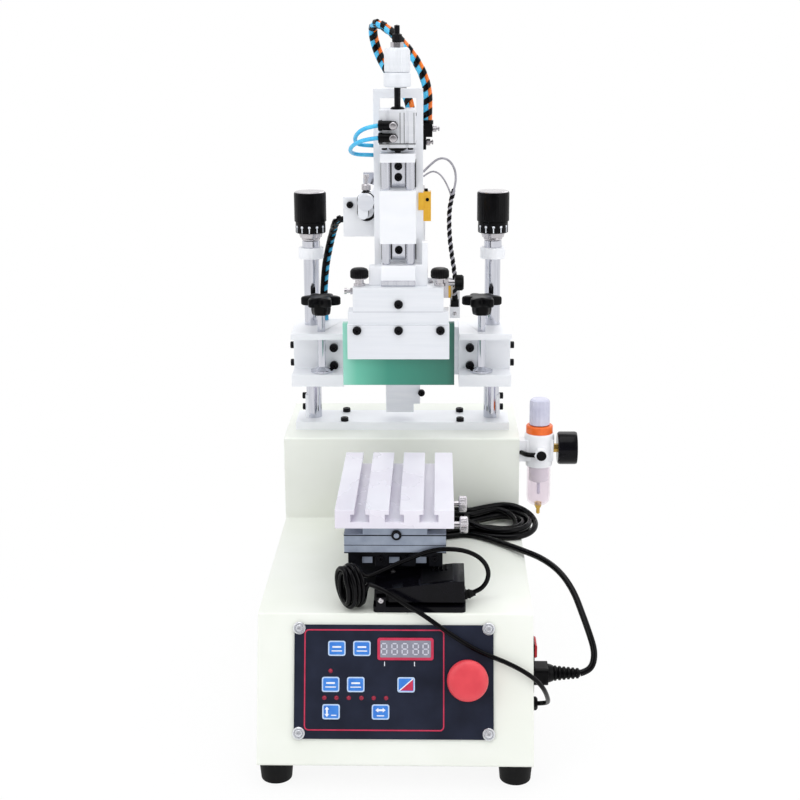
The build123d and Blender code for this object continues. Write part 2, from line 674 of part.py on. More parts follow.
def cross_beam():
    low = CLAMP_HIGH_Z - BEAM_HEIGHT
    y = around(COLUMN_Y, BEAM_THICKNESS)
    beam = block((-CLAMP_INNER_X, CLAMP_INNER_X), y, (low, CLAMP_HIGH_Z))
    lug_y = (y[0], y[0] + LUG_THICKNESS)
    lug_low = low - LUG_DROP
    lug = block(around(HEAD_X + LUG_OFFSET, LUG_WIDTH), lug_y, (lug_low, low))
    notch = block((HEAD_X + LUG_NOTCH_X, LUG_WIDTH), lug_y, (lug_low, lug_low + LUG_NOTCH_HEIGHT))
    return beam + lug - notch


def slide_housing():
    y = (HOUSING_FRONT_Y, HOUSING_BACK_Y)
    body = block(around(0, HOUSING_WIDTH), y, (CLAMP_HIGH_Z, HOUSING_TOP))
    for side in (-1, 1):
        bore_x = side * STROKE_ROD_SPACING / 2
        body -= bar_y(bore_x, y, STROKE_ROD_Z, STROKE_ROD_RADIUS + RUN_GAP)
    ear_y = (BRACKET_FRONT_Y, BRACKET_FRONT_Y + BRACKET_DEPTH)
    body += block((BRACKET_OUTER_X, -HOUSING_WIDTH / 2), ear_y, (BRACKET_LOW_Z, BRACKET_HIGH_Z))
    return body - bar_y(CYLINDER_X, (BRACKET_FRONT_Y, CYLINDER_BACK_Y), CYLINDER_Z,
                        CYLINDER_RADIUS + SEAT_GAP)


def stroke_cylinder():
    nose_y = HEAD_PLATE_Y + CYLINDER_NOSE_GAP
    body = bar_y(CYLINDER_X, (nose_y, CYLINDER_BACK_Y), CYLINDER_Z, CYLINDER_RADIUS)
    bore = (BRACKET_FRONT_Y, CYLINDER_BACK_Y)
    return body - bar_y(CYLINDER_X, bore, CYLINDER_Z, PISTON_RADIUS + RUN_GAP)


def stroke_rods():
    y = (REAR_PLATE_Y, REAR_PLATE_Y + REAR_PLATE_THICKNESS)
    z = (STROKE_ROD_Z - REAR_PLATE_DROP, CYLINDER_Z + REAR_PLATE_RISE)
    x = (CYLINDER_X - REAR_PLATE_LEFT, STROKE_ROD_SPACING / 2 + REAR_PLATE_RIGHT)
    frame = block(x, y, z)
    for side in (-1, 1):
        frame += bar_y(side * STROKE_ROD_SPACING / 2, (CARRIAGE_BACK_Y, REAR_PLATE_Y),
                       STROKE_ROD_Z, STROKE_ROD_RADIUS)
    piston_y = (CYLINDER_BACK_Y - PISTON_INSERT, REAR_PLATE_Y)
    return frame + bar_y(CYLINDER_X, piston_y, CYLINDER_Z, PISTON_RADIUS)


def head_plate():
    y = (HEAD_PLATE_Y, HEAD_BACK_Y)
    plate = block(around(HEAD_X, HEAD_PLATE_WIDTH), y, (HEAD_PLATE_LOW_Z, HEAD_PLATE_HIGH_Z))
    plate -= block(around(HEAD_X, WINDOW_WIDTH), y, (WINDOW_LOW_Z, WINDOW_HIGH_Z))
    return plate + block(around(0, CARRIAGE_WIDTH), (HEAD_BACK_Y, CARRIAGE_BACK_Y),
                         (CARRIAGE_LOW_Z, CARRIAGE_HIGH_Z))


def bearing_cover():
    y = (HEAD_Y - COVER_FRONT, HEAD_PLATE_Y)
    body = block(around(HEAD_X, COVER_WIDTH), y, (COVER_LOW_Z, COVER_HIGH_Z))
    body = fillet(body.edges().filter_by(Axis.Z).sort_by(Axis.Y)[:2], COVER_ROUND)
    for side in (-1, 1):
        body -= post(HEAD_X + side * GUIDE_ROD_SPACING / 2, HEAD_Y,
                     (COVER_LOW_Z, COVER_HIGH_Z), GUIDE_ROD_RADIUS + RUN_GAP)
    return body


def lift_cylinder():
    y = (HEAD_Y - LIFT_CYLINDER_FRONT, HEAD_PLATE_Y)
    z = (LIFT_CYLINDER_LOW_Z, LIFT_CYLINDER_HIGH_Z)
    body = block(around(HEAD_X, LIFT_CYLINDER_WIDTH), y, z)
    for side in (-1, 1):
        groove_x = around(HEAD_X + side * LIFT_GROOVE_REACH, LIFT_GROOVE_WIDTH)
        body -= block(groove_x, (y[0], y[0] + LIFT_GROOVE_DEPTH), z)
    return body - post(HEAD_X, HEAD_Y, z, LIFT_ROD_RADIUS + RUN_GAP)


def air_fittings():
    front = HEAD_Y - LIFT_CYLINDER_FRONT
    fittings = []
    stud_x = HEAD_X - ELBOW_OFFSET
    for z in ELBOW_Z:
        stud = bar_y(stud_x, (front - ELBOW_STUD_LENGTH, front), z, ELBOW_STUD_RADIUS)
        barrel_x = (stud_x - ELBOW_BARREL_LENGTH, stud_x)
        barrel = bar_x(barrel_x, front - ELBOW_STUD_LENGTH / 2, z, ELBOW_BARREL_RADIUS)
        fittings.append(stud + barrel)
    fittings.append(block(UNION_X, (HEAD_BACK_Y, HEAD_BACK_Y + UNION_DEPTH), UNION_Z))
    fittings.append(air_manifold())
    return Compound(children=fittings)


def air_manifold():
    y = (HEAD_BACK_Y, HEAD_BACK_Y + MANIFOLD_DEPTH)
    pieces = [block((MANIFOLD_LEFT, end), y, z) for end, z in MANIFOLD_STEPS]
    middle_y = HEAD_BACK_Y + MANIFOLD_DEPTH / 2
    for x, z in MANIFOLD_SCREWS:
        pieces.append(bar_x(x, middle_y, z, MANIFOLD_SCREW_RADIUS))
    return pieces[0].fuse(*pieces[1:])


def sensors():
    back = HEAD_BACK_Y
    home = block(HOME_SENSOR_X, (back, back + HOME_SENSOR_DEPTH), HOME_SENSOR_Z)
    arm_y = (back - LIMIT_ARM_THICKNESS, back)
    arm_z = (HEAD_PLATE_LOW_Z, HEAD_PLATE_LOW_Z + LIMIT_ARM_HEIGHT)
    arm = block((HEAD_X + HEAD_PLATE_WIDTH / 2, LIMIT_ARM_END_X), arm_y, arm_z)
    drop_x = (LIMIT_ARM_END_X - LIMIT_ARM_WIDTH, LIMIT_ARM_END_X)
    drop = block(drop_x, arm_y, (LIMIT_SENSOR_Z[0], HEAD_PLATE_LOW_Z))
    body_x = (LIMIT_ARM_END_X - LIMIT_SENSOR_WIDTH, LIMIT_ARM_END_X)
    body = block(body_x, (arm_y[0] - LIMIT_SENSOR_DEPTH, arm_y[0]), LIMIT_SENSOR_Z)
    return Compound(children=[home, arm + drop + body])


def top_plate():
    y = (HEAD_Y - COVER_FRONT, HEAD_Y - COVER_FRONT + TOP_PLATE_DEPTH)
    z = (TOP_PLATE_LOW_Z, TOP_PLATE_LOW_Z + TOP_PLATE_THICKNESS)
    return block(around(HEAD_X, TOP_PLATE_WIDTH), y, z)


def guide_rods():
    rods = []
    for side in (-1, 1):
        x = HEAD_X + side * GUIDE_ROD_SPACING / 2
        rods.append(post(x, HEAD_Y, (LOWER_BLOCK_HIGH_Z, TOP_PLATE_LOW_Z), GUIDE_ROD_RADIUS))
    z = (TOP_PLATE_LOW_Z + TOP_PLATE_THICKNESS, LIFT_ROD_TOP)
    rods.append(post(HEAD_X, HEAD_Y, z, LIFT_ROD_RADIUS))
    return Compound(children=rods)


def stop_knob():
    flange_top = STOP_NUT_LOW_Z + STOP_FLANGE_HEIGHT
    z = (STOP_NUT_LOW_Z, flange_top + STOP_KNOB_HEIGHT)
    flange = post(HEAD_X, HEAD_Y, (STOP_NUT_LOW_Z, flange_top), STOP_FLANGE_RADIUS)
    grip = post(HEAD_X, HEAD_Y, (flange_top, z[1]), STOP_KNOB_RADIUS)
    grip = chamfer(grip.edges().sort_by(Axis.Z)[-1], STOP_KNOB_CHAMFER)
    return flange + grip - post(HEAD_X, HEAD_Y, z, LIFT_ROD_RADIUS + RUN_GAP)


def lower_block():
    left_x = (HEAD_X - LOWER_EAR_REACH, HEAD_X - LOWER_BLOCK_WIDTH / 2)
    right_x = (HEAD_X + LOWER_BLOCK_WIDTH / 2, HEAD_X + LOWER_EAR_REACH)
    y = (HEAD_Y - LOWER_BLOCK_FRONT, HEAD_Y - LOWER_BLOCK_FRONT + LOWER_BLOCK_DEPTH)
    ear_y = (HEAD_Y - LOWER_EAR_FRONT, y[1])
    body = block(around(HEAD_X, LOWER_BLOCK_WIDTH), y, (BAR_TOP_Z, LOWER_BLOCK_HIGH_Z))
    body += block(left_x, ear_y, (BAR_TOP_Z, LOWER_BLOCK_HIGH_Z - LOWER_EAR_STEP))
    body += block(right_x, ear_y, (BAR_TOP_Z, LOWER_BLOCK_HIGH_Z))
    tab_x = (right_x[1] - LOWER_TAB_WIDTH, right_x[1])
    return body + block(tab_x, ear_y, (BAR_TOP_Z, COVER_LOW_Z))


def squeegee_bar():
    y = (HEAD_Y - BAR_FRONT, HEAD_Y + BAR_BACK)
    bar = block(around(HEAD_X, BAR_WIDTH), y, (BAR_LOW_Z, BAR_TOP_Z))
    bar += block(around(HEAD_X, BAND_WIDTH), y, (BAND_LOW_Z, BAR_LOW_Z))
    z = (BAND_LOW_Z - GRIP_HEIGHT, BAND_LOW_Z)
    bar += block(around(HEAD_X, GRIP_WIDTH), (BLADE_Y - GRIP_THICKNESS, BLADE_Y), z)
    back_y = (BLADE_Y + BLADE_THICKNESS, BLADE_Y + BLADE_THICKNESS + BACKING_THICKNESS)
    return bar + block(around(HEAD_X, GRIP_WIDTH), back_y, z)


def squeegee_blade():
    y = (BLADE_Y + SEAT_GAP, BLADE_Y + BLADE_THICKNESS - SEAT_GAP)
    return block(around(HEAD_X, BLADE_WIDTH), y, (BLADE_LOW_Z, BAND_LOW_Z))


def thumb_knobs():
    knobs = []
    for side in (-1, 1):
        x = side * THUMB_SPACING / 2
        cap_low = BAR_TOP_Z + THUMB_STEM_HEIGHT
        stem = post(x, HEAD_Y - THUMB_SETBACK, (BAR_TOP_Z, cap_low), THUMB_STEM_RADIUS)
        cap = post(x, HEAD_Y - THUMB_SETBACK, (cap_low, cap_low + THUMB_HEIGHT), THUMB_RADIUS)
        cap = fillet(cap.edges().sort_by(Axis.Z)[-1], THUMB_ROUND)
        knobs.append(stem + cap)
    knobs.append(angle_knob())
    return Compound(children=knobs)


def angle_knob():
    end = HEAD_X + BAR_WIDTH / 2
    base_end = end + ANGLE_BASE_THICKNESS
    base_z = (BAR_TOP_Z + ANGLE_BASE_Z[0], BAR_TOP_Z + ANGLE_BASE_Z[1])
    base = block((end, base_end), around(HEAD_Y, ANGLE_BASE_DEPTH), base_z)
    z = BAR_TOP_Z + ANGLE_KNOB_RISE
    knob_x = (end + ANGLE_KNOB_REACH, end + ANGLE_KNOB_REACH + ANGLE_KNOB_LENGTH)
    stem = bar_x((base_end, knob_x[0]), HEAD_Y, z, ANGLE_STEM_RADIUS)
    knob = bar_x(knob_x, HEAD_Y, z, ANGLE_KNOB_RADIUS)
    knob = fillet(knob.edges().sort_by(Axis.X)[-1], ANGLE_KNOB_ROUND)
    return base + stem + knob


def t_slot_table():
    body = block(around(TABLE_X, TABLE_WIDTH), (TABLE_FRONT_Y, TABLE_BACK_Y), (TABLE_LOW_Z, TABLE_TOP))
    for index in (-1, 0, 1):
        x = TABLE_X + index * SLOT_SPACING
        y = (TABLE_FRONT_Y, TABLE_BACK_Y)
        lip_z = TABLE_TOP - SLOT_LIP
        body -= block(around(x, SLOT_MOUTH), y, (lip_z, TABLE_TOP))
        body -= block(around(x, SLOT_INNER), y, (lip_z - SLOT_INNER_HEIGHT, lip_z))
    return body


def stage_top():
    y = (TABLE_FRONT_Y + STAGE_TOP_Y[0], TABLE_BACK_Y - STAGE_TOP_Y[1])
    body = block(around(TABLE_X, STAGE_WIDTH), y, (STAGE_MIDDLE_TOP_Z, STAGE_TOP_Z))
    return body + block(around(TABLE_X, SADDLE_WIDTH), y, (STAGE_TOP_Z, SADDLE_TOP_Z))


def stage_base():
    y = (TABLE_FRONT_Y + STAGE_MIDDLE_Y[0], TABLE_BACK_Y - STAGE_MIDDLE_Y[1])
    body = block(around(TABLE_X, STAGE_MIDDLE_WIDTH), y, (STAGE_BASE_TOP_Z, STAGE_MIDDLE_TOP_Z))
    notch_z = (STAGE_BASE_TOP_Z, STAGE_MIDDLE_TOP_Z - STAGE_NOTCH_TOP)
    for index in (-1, 0, 1):
        notch_x = around(TABLE_X + index * STAGE_NOTCH_SPACING, STAGE_NOTCH_WIDTH)
        body -= block(notch_x, (y[0], y[0] + STAGE_NOTCH_DEPTH), notch_z)
    base_back = TABLE_BACK_Y - STAGE_BASE_SETBACK
    base_y = (base_back - STAGE_BASE_LENGTH, base_back)
    return body + block(around(TABLE_X, STAGE_BASE_WIDTH), base_y, (DECK_Z, STAGE_BASE_TOP_Z))


def table_knobs():
    z = (STAGE_TOP_Z + SADDLE_TOP_Z) / 2
    knob_x = TABLE_X + TABLE_WIDTH / 2 + TABLE_KNOB_GAP
    knobs = []
    for y in (TABLE_KNOB_Y, TABLE_KNOB_Y + TABLE_KNOB_SPACING):
        shaft = bar_x((TABLE_X + SADDLE_WIDTH / 2, knob_x), y, z, TABLE_KNOB_SHAFT_RADIUS)
        grip = bar_x((knob_x, knob_x + TABLE_KNOB_LENGTH), y, z, TABLE_KNOB_RADIUS)
        knobs.append(shaft + chamfer(grip.edges().sort_by(Axis.X)[-1], TABLE_KNOB_CHAMFER))
    return Compound(children=knobs)


def pedal_ears():
    """X limits and the two pairs of Y limits of the hinge's ears."""
    middle = PEDAL_LEFT + PEDAL_HINGE_INSET
    back = PEDAL_FRONT + PEDAL_DEPTH
    near = (PEDAL_FRONT, PEDAL_FRONT + PEDAL_EAR_DEPTH)
    return around(middle, 2 * PEDAL_EAR_HALF_WIDTH), (near, (back - PEDAL_EAR_DEPTH, back))


def pedal_base():
    y = (PEDAL_FRONT, PEDAL_FRONT + PEDAL_DEPTH)
    top = DECK_Z + PEDAL_BASE_HEIGHT
    body = block((PEDAL_LEFT, PEDAL_RIGHT), y, (DECK_Z, top))
    body = fillet(body.edges().filter_by(Axis.Z), PEDAL_ROUND)
    hinge_z = top + PEDAL_GAP + PEDAL_HINGE_RISE
    ear_x, ear_pairs = pedal_ears()
    for ear_y in ear_pairs:
        body += block(ear_x, ear_y, (DECK_Z, hinge_z + PEDAL_HINGE_RISE))
    pin_y = (ear_pairs[0][1], ear_pairs[1][0])
    body += bar_y(PEDAL_LEFT + PEDAL_HINGE_INSET, pin_y, hinge_z, PEDAL_HINGE_RADIUS)
    inlet_x = (PEDAL_RIGHT - PEDAL_INLET_DEPTH, PEDAL_RIGHT)
    return body + block(inlet_x, around(PEDAL_INLET_Y, PEDAL_INLET_WIDTH),
                        (DECK_Z, DECK_Z + PEDAL_INLET_HEIGHT))


def pedal_treadle():
    low = DECK_Z + PEDAL_BASE_HEIGHT + PEDAL_GAP
    x = (PEDAL_LEFT + PEDAL_TREADLE_X[0], PEDAL_RIGHT - PEDAL_TREADLE_X[1])
    y = (PEDAL_FRONT + PEDAL_TREADLE_Y[0], PEDAL_FRONT + PEDAL_DEPTH - PEDAL_TREADLE_Y[1])
    right_z = DECK_Z + PEDAL_TOP_RIGHT
    side = [(x[0], low), (x[1], low), (x[1], right_z), (x[1] - PEDAL_END_FLAT, right_z),
            (x[0], DECK_Z + PEDAL_TOP_LEFT)]
    outline = Polyline(*[(along, y[0], z) for along, z in side], close=True)
    body = extrude(make_face(outline), amount=y[1] - y[0], dir=(0, 1, 0))
    pin_z = low + PEDAL_HINGE_RISE
    ear_x, ear_pairs = pedal_ears()
    notch_x = (x[0], ear_x[1] + PEDAL_EAR_GAP)
    notch_z = (low, pin_z + PEDAL_HINGE_RISE + PEDAL_EAR_GAP)
    for ear_y in ear_pairs:
        body -= block(notch_x, (ear_y[0] - PEDAL_EAR_SIDE_GAP, ear_y[1] + PEDAL_EAR_SIDE_GAP), notch_z)
    inlet_x = (PEDAL_RIGHT - PEDAL_INLET_DEPTH - PEDAL_INLET_GAP, PEDAL_RIGHT)
    inlet_y = around(PEDAL_INLET_Y, PEDAL_INLET_WIDTH + 2 * PEDAL_INLET_GAP)
    inlet_top = DECK_Z + PEDAL_INLET_HEIGHT + 2 * PEDAL_INLET_GAP
    body -= block(inlet_x, inlet_y, (low, inlet_top))
    return body - bar_y(PEDAL_LEFT + PEDAL_HINGE_INSET, y, pin_z, PEDAL_HINGE_RADIUS + RUN_GAP)


def air_body():
    z = (AIR_BODY_LOW_Z, AIR_BODY_TOP_Z)
    body = post(AIR_X, AIR_Y, z, AIR_BODY_RADIUS)
    flat_x = (AIR_X - AIR_BODY_RADIUS + AIR_FLAT_LEFT, AIR_X + AIR_BODY_RADIUS - AIR_FLAT_RIGHT)
    body &= block(flat_x, around(AIR_Y, 2 * AIR_BODY_RADIUS), z)
    port_y = (AIR_Y - AIR_BODY_RADIUS - AIR_PORT_Y[0], AIR_Y - AIR_PORT_Y[1])
    body += bar_y(AIR_X + AIR_PORT_OFFSET, port_y, FILTER_TUBE_Z, AIR_PORT_RADIUS)
    body += post(AIR_X, AIR_Y, (AIR_BODY_TOP_Z, AIR_BODY_TOP_Z + AIR_RING_HEIGHT), AIR_RING_RADIUS)
    return body + block((SIDE_X, flat_x[0]), around(AIR_Y, AIR_BRACKET_WIDTH), AIR_BRACKET_Z)


def air_knob():
    low = AIR_BODY_TOP_Z + AIR_RING_HEIGHT + REST_GAP
    knob = post(AIR_X, AIR_Y, (low, low + AIR_KNOB_HEIGHT), AIR_KNOB_RADIUS)
    return fillet(knob.edges().sort_by(Axis.Z)[-1], AIR_KNOB_ROUND)


def air_bowl():
    low = AIR_BODY_LOW_Z - AIR_BOWL_HEIGHT
    bowl = post(AIR_X, AIR_Y, (low, AIR_BODY_LOW_Z), AIR_BOWL_RADIUS)
    bowl = fillet(bowl.edges().sort_by(Axis.Z)[0], AIR_BOWL_ROUND)
    return bowl + post(AIR_X, AIR_Y, (low - AIR_DRAIN_HEIGHT, low), AIR_DRAIN_RADIUS)


def air_gauge():
    start = AIR_X + AIR_BODY_RADIUS - AIR_FLAT_RIGHT
    case_start = start + GAUGE_NIPPLE_LENGTH
    nipple = bar_x((start, case_start), AIR_Y, GAUGE_Z, GAUGE_NIPPLE_RADIUS)
    case = bar_x((case_start, case_start + GAUGE_DEPTH), AIR_Y, GAUGE_Z, GAUGE_RADIUS)
    return nipple + fillet(case.edges().sort_by(Axis.X)[0], GAUGE_ROUND)


def pedal_hank():
    hank = block(PEDAL_HANK_X, PEDAL_HANK_Y, (DECK_Z, DECK_Z + PEDAL_HANK_HEIGHT))
    return fillet(hank.edges(), PEDAL_HANK_ROUND)


def disc(x, y, radius):
    """A flat round face on the deck."""
    return Pos(x, y, DECK_Z) * Circle(radius)


def around_discs(one, other):
    """The flat face that a tight belt round two discs would hold."""
    return make_hull(one.edges() + other.edges())


def power_hank():
    """Loops of the lead, pinched at a tie, with an open eye at each end."""
    left = disc(POWER_HANK_X[0] + POWER_HANK_END_RADIUS, POWER_HANK_Y, POWER_HANK_END_RADIUS)
    right = disc(POWER_HANK_X[1] - POWER_HANK_END_RADIUS, POWER_HANK_Y, POWER_HANK_END_RADIUS)
    waist = disc(POWER_HANK_WAIST_X, POWER_HANK_WAIST_Y, POWER_HANK_WAIST_RADIUS)
    hank = extrude(around_discs(left, waist) + around_discs(waist, right), amount=POWER_HANK_HEIGHT)
    low, high = hank.faces().sort_by(Axis.Z)[0], hank.faces().sort_by(Axis.Z)[-1]
    hank = fillet(low.edges() + high.edges(), POWER_HANK_ROUND)
    eye_y = POWER_HANK_Y + POWER_HANK_EYE_BACK
    left_eye = disc(POWER_HANK_X[0] + POWER_HANK_EYE_INSET, eye_y, POWER_HANK_EYE_RADIUS)
    right_eye = disc(POWER_HANK_X[1] - POWER_HANK_EYE_INSET, eye_y, POWER_HANK_EYE_RADIUS)
    tip = disc(POWER_HANK_EYE_TIP_X, POWER_HANK_Y, POWER_HANK_EYE_TIP_RADIUS)
    hank -= extrude(left_eye, amount=POWER_HANK_HEIGHT)
    return hank - extrude(around_discs(right_eye, tip), amount=POWER_HANK_HEIGHT)


def mains_plug():
    y = POWER_HANK_Y
    body = block(MAINS_PLUG_X, around(y, MAINS_PLUG_WIDTH), (DECK_Z, DECK_Z + MAINS_PLUG_HEIGHT))
    body = fillet(body.edges().filter_by(Axis.X), MAINS_PLUG_ROUND)
    relief_x = (MAINS_PLUG_X[1], MAINS_RELIEF_END_X)
    return body + bar_x(relief_x, y, DECK_Z + MAINS_RELIEF_RISE, MAINS_RELIEF_RADIUS)


def make_cords():
    loop = [(61.4, -143.0, 153.0), (72.0, -143.0, 155.5), (80.2, -143.0, 163.5), (82.4, -143.0, 175.0),
            (76.5, -143.0, 186.0), (65.0, -143.0, 193.2), (50.5, -143.0, 195.8), (36.0, -143.0, 195.2),
            (22.5, -143.5, 191.4), (9.0, -144.5, 185.8), (-4.5, -147.0, 180.6), (-15.5, -150.5, 176.6),
            (-25.0, -154.0, 173.5)]
    cord("pedal_cord_loop", loop, PEDAL_CORD)
    tail = [(-25.0, -165.5, 172.5), (-17.0, -169.0, 170.5), (-9.0, -171.5, 167.5), (-1.0, -173.0, 162.5),
            (9.5, -173.5, 155.5),
            (22.5, -176.0, 148.5), (37.5, -179.5, 138.6), (52.0, -182.8, 129.5), (68.0, -185.9, 120.2),
            (82.5, -188.2, 114.3), (96.5, -190.0, 109.2), (109.5, -192.5, 103.3), (120.5, -194.0, 96.2),
            (128.0, -190.5, 86.5), (132.0, -181.5, 75.5), (134.5, -171.5, 65.0), (134.5, -162.5, 57.5),
            (126.0, -160.0, 56.0)]
    cord("pedal_cord_tail", tail, PEDAL_CORD)
    lead = [(165.0, -140.0, 76.0), (172.5, -139.5, 78.0), (177.5, -136.5, 84.5), (178.5, -130.5, 94.5),
            (174.5, -121.0, 106.5), (169.0, -107.5, 120.0), (162.5, -89.0, 134.5), (151.5, -69.5, 146.0),
            (136.0, -49.5, 151.5), (119.0, -28.0, 151.0), (103.0, -8.0, 150.0), (84.0, 12.0, 150.5),
            (66.0, 27.0, 152.5)]
    cord("power_cord", lead, POWER_CORD)
    top = [(26.8, 81.0, 549.0), (27.0, 81.2, 562.0), (27.3, 81.6, 575.0), (25.0, 82.5, 587.5),
           (20.5, 84.0, 599.0), (14.0, 86.5, 610.0), (5.5, 90.0, 621.0), (-5.0, 95.0, 631.5),
           (-15.5, 103.0, 639.5), (-23.5, 114.0, 642.5), (-27.5, 125.0, 637.0), (-26.0, 131.0, 625.0),
           (-21.5, 129.0, 611.5), (-14.5, 121.0, 599.0), (-6.0, 108.5, 588.0), (3.0, 95.5, 579.0),
           (9.5, 85.0, 569.0), (11.0, 81.0, 556.0)]
    cord("top_hose", top, TOP_HOSE)
    left = [(-56.4, 118.0, 452.0), (-63.0, 121.0, 450.5), (-67.5, 130.0, 445.5), (-70.0, 142.0, 437.5),
            (-73.5, 152.0, 426.5), (-77.0, 157.0, 412.5), (-80.0, 158.0, 398.0), (-81.5, 157.0, 383.0),
            (-82.5, 154.5, 368.0), (-82.0, 151.5, 354.0), (-81.5, 150.0, 340.3)]
    cord("left_hose", left, LEFT_HOSE)
    lead = [(22.65, 68.0, 503.0), (31.0, 69.5, 511.5), (39.5, 72.0, 516.5), (47.5, 74.5, 514.0),
            (53.0, 76.0, 506.0), (54.6, 76.2, 496.0), (52.8, 75.2, 486.0), (50.0, 74.0, 476.5),
            (48.1, 72.0, 466.0), (47.7, 69.8, 454.0), (48.2, 67.6, 442.0), (49.4, 65.4, 430.0),
            (51.3, 63.6, 417.5), (53.2, 62.4, 404.5), (54.0, 62.0, 392.0), (53.6, 62.2, 379.5)]
    cord("sensor_lead", lead, SENSOR_CORD)
    tube_a = [(-19.0, 27.0, 550.5), (-28.5, 27.3, 549.0), (-36.5, 31.0, 545.0), (-41.0, 40.0, 539.5),
              (-42.0, 51.5, 534.5), (-40.5, 63.0, 530.5), (-35.0, 73.5, 528.2), (-25.0, 78.0, 527.5)]
    cord("air_tube_a", tube_a, AIR_TUBE)
    tube_b = [(-19.0, 27.0, 539.0), (-30.0, 27.5, 537.8), (-40.0, 32.5, 534.0), (-45.5, 42.5, 529.0),
              (-47.0, 54.0, 524.5), (-44.5, 65.5, 521.0), (-37.0, 74.5, 519.0), (-25.0, 78.0, 518.5)]
    cord("air_tube_b", tube_b, AIR_TUBE)
    inlet = [(AIR_X - 4.0, AIR_Y - 18.5, 218.0), (AIR_X - 10.0, AIR_Y - 18.4, 218.1),
             (SIDE_X + 5.8, AIR_Y - 15.4, 217.9), (SIDE_X + 3.4, AIR_Y - 10.0, 217.7),
             (SIDE_X, AIR_Y - 4.5, 217.6)]
    cord("filter_tube", inlet, FILTER_TUBE)


def save_each_side(name, make):
    """Write the left and the right copy of a piece."""
    for side, word in ((-1, "left"), (1, "right")):
        save(f"{name}_{word}", make(side))


def save_both_sides(name, make):
    """Write the left and the right copy of a piece as one node."""
    save(name, Compound(children=[make(-1), make(1)]))


def make_pieces():
    for make in (cabinet, rubber_feet, control_panel, panel_keys, emergency_stop_button,
                 power_inlet, power_rocker, iec_plug, cable_gland, column_plate, cross_beam,
                 slide_housing, stroke_cylinder, stroke_rods, head_plate, bearing_cover,
                 lift_cylinder, air_fittings, sensors, top_plate, guide_rods, stop_knob,
                 lower_block, squeegee_bar, squeegee_blade, thumb_knobs, t_slot_table,
                 stage_top, stage_base, table_knobs, pedal_base, pedal_treadle, air_body,
                 air_knob, air_bowl, air_gauge, pedal_hank, power_hank, mains_plug):
        save(make.__name__, make())
    save_both_sides("columns", column)
    save_both_sides("column_collars", column_collar)
    save_each_side("height_knob", height_knob)
    save_each_side("frame_clamp", clamp_block)
    save_each_side("clamp_spindle", clamp_spindle)
    save_each_side("star_knob", star_knob)


os.makedirs("parts", exist_ok=True)
make_pieces()
make_cords()
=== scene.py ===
# %% [markdown]
# # A flatbed screen printing machine
# The printed model holds the right sizes and joints, but it looks like bare solids.
# This lesson dresses it: cords first, then paint, metal, rubber and the small parts,
# region by region, from the cabinet up to the print head.
# The model is loaded as a fixed frame, so every new piece is placed with its numbers.

# %% Load the frame
from math import atan2, cos, pi, radians, sin
from random import Random

import bmesh
import bpy
from mathutils import Matrix, Vector


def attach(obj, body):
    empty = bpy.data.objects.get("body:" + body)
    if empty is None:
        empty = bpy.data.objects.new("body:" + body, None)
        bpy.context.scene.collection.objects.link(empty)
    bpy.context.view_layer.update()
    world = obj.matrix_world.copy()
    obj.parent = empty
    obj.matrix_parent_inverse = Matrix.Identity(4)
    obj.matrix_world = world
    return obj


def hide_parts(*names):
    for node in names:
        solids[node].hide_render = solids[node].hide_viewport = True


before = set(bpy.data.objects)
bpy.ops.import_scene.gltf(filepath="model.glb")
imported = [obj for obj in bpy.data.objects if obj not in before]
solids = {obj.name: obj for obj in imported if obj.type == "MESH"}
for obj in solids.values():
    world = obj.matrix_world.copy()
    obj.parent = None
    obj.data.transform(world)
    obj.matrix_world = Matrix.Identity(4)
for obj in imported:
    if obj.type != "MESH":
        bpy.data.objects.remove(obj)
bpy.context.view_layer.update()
MM = 0.001
LEFT, RIGHT, FRONT, BACK, UP = (-1, 0, 0), (1, 0, 0), (0, -1, 0), (0, 1, 0), (0, 0, 1)


def placed(name, data):
    """A new object in the scene."""
    made = bpy.data.objects.new(name, data)
    bpy.context.scene.collection.objects.link(made)
    return made


# %% [markdown]
# ## The camera
# A photograph can be matched by eye, or by solving for the place and the three turns
# that put known corners of the object on their pixels. The numbers below come from
# such a fit. The camera looks down a little, from a head's height above the bench.
# A matrix built from the three directions of the lens avoids mixing up turn orders.

# %% Place the camera
SENSOR = 36
LENS_PIXELS = 1480
PICTURE_PIXELS = 800
PITCH = radians(14.863)
YAW = radians(-1.502)
ROLL = radians(-0.343)
EYE = Vector((0.036589, -1.369042, 0.656812))

ahead = Vector((sin(YAW) * cos(PITCH), cos(YAW) * cos(PITCH), -sin(PITCH)))
level_right = Vector((cos(YAW), -sin(YAW), 0))
level_up = level_right.cross(ahead)
right = cos(ROLL) * level_right + sin(ROLL) * level_up
up = cos(ROLL) * level_up - sin(ROLL) * level_right

lens = bpy.data.cameras.new("camera")
lens.sensor_width = SENSOR
lens.lens = LENS_PIXELS * SENSOR / PICTURE_PIXELS
camera = placed("camera", lens)
turn = Matrix((right, up, -ahead)).transposed()
camera.matrix_world = Matrix.Translation(EYE) @ turn.to_4x4()
bpy.context.scene.camera = camera
bpy.context.scene.view_settings.view_transform = "Standard"
print("lens", round(lens.lens, 1), "mm")


# %% [markdown]
# ## Floor, light and surroundings
# A product picture stands on white. More light would bleach the object, so the white
# is in the floor and in the sky instead: the camera sees plain white on every side,
# and the light that falls on the object comes from a calm grey-white room.
# Part of the floor's own shading is kept, which leaves the object its soft shadow.
# Polished rods need something darker to mirror, so what metal and glass show of the
# sky is darker in front of the machine than behind it.

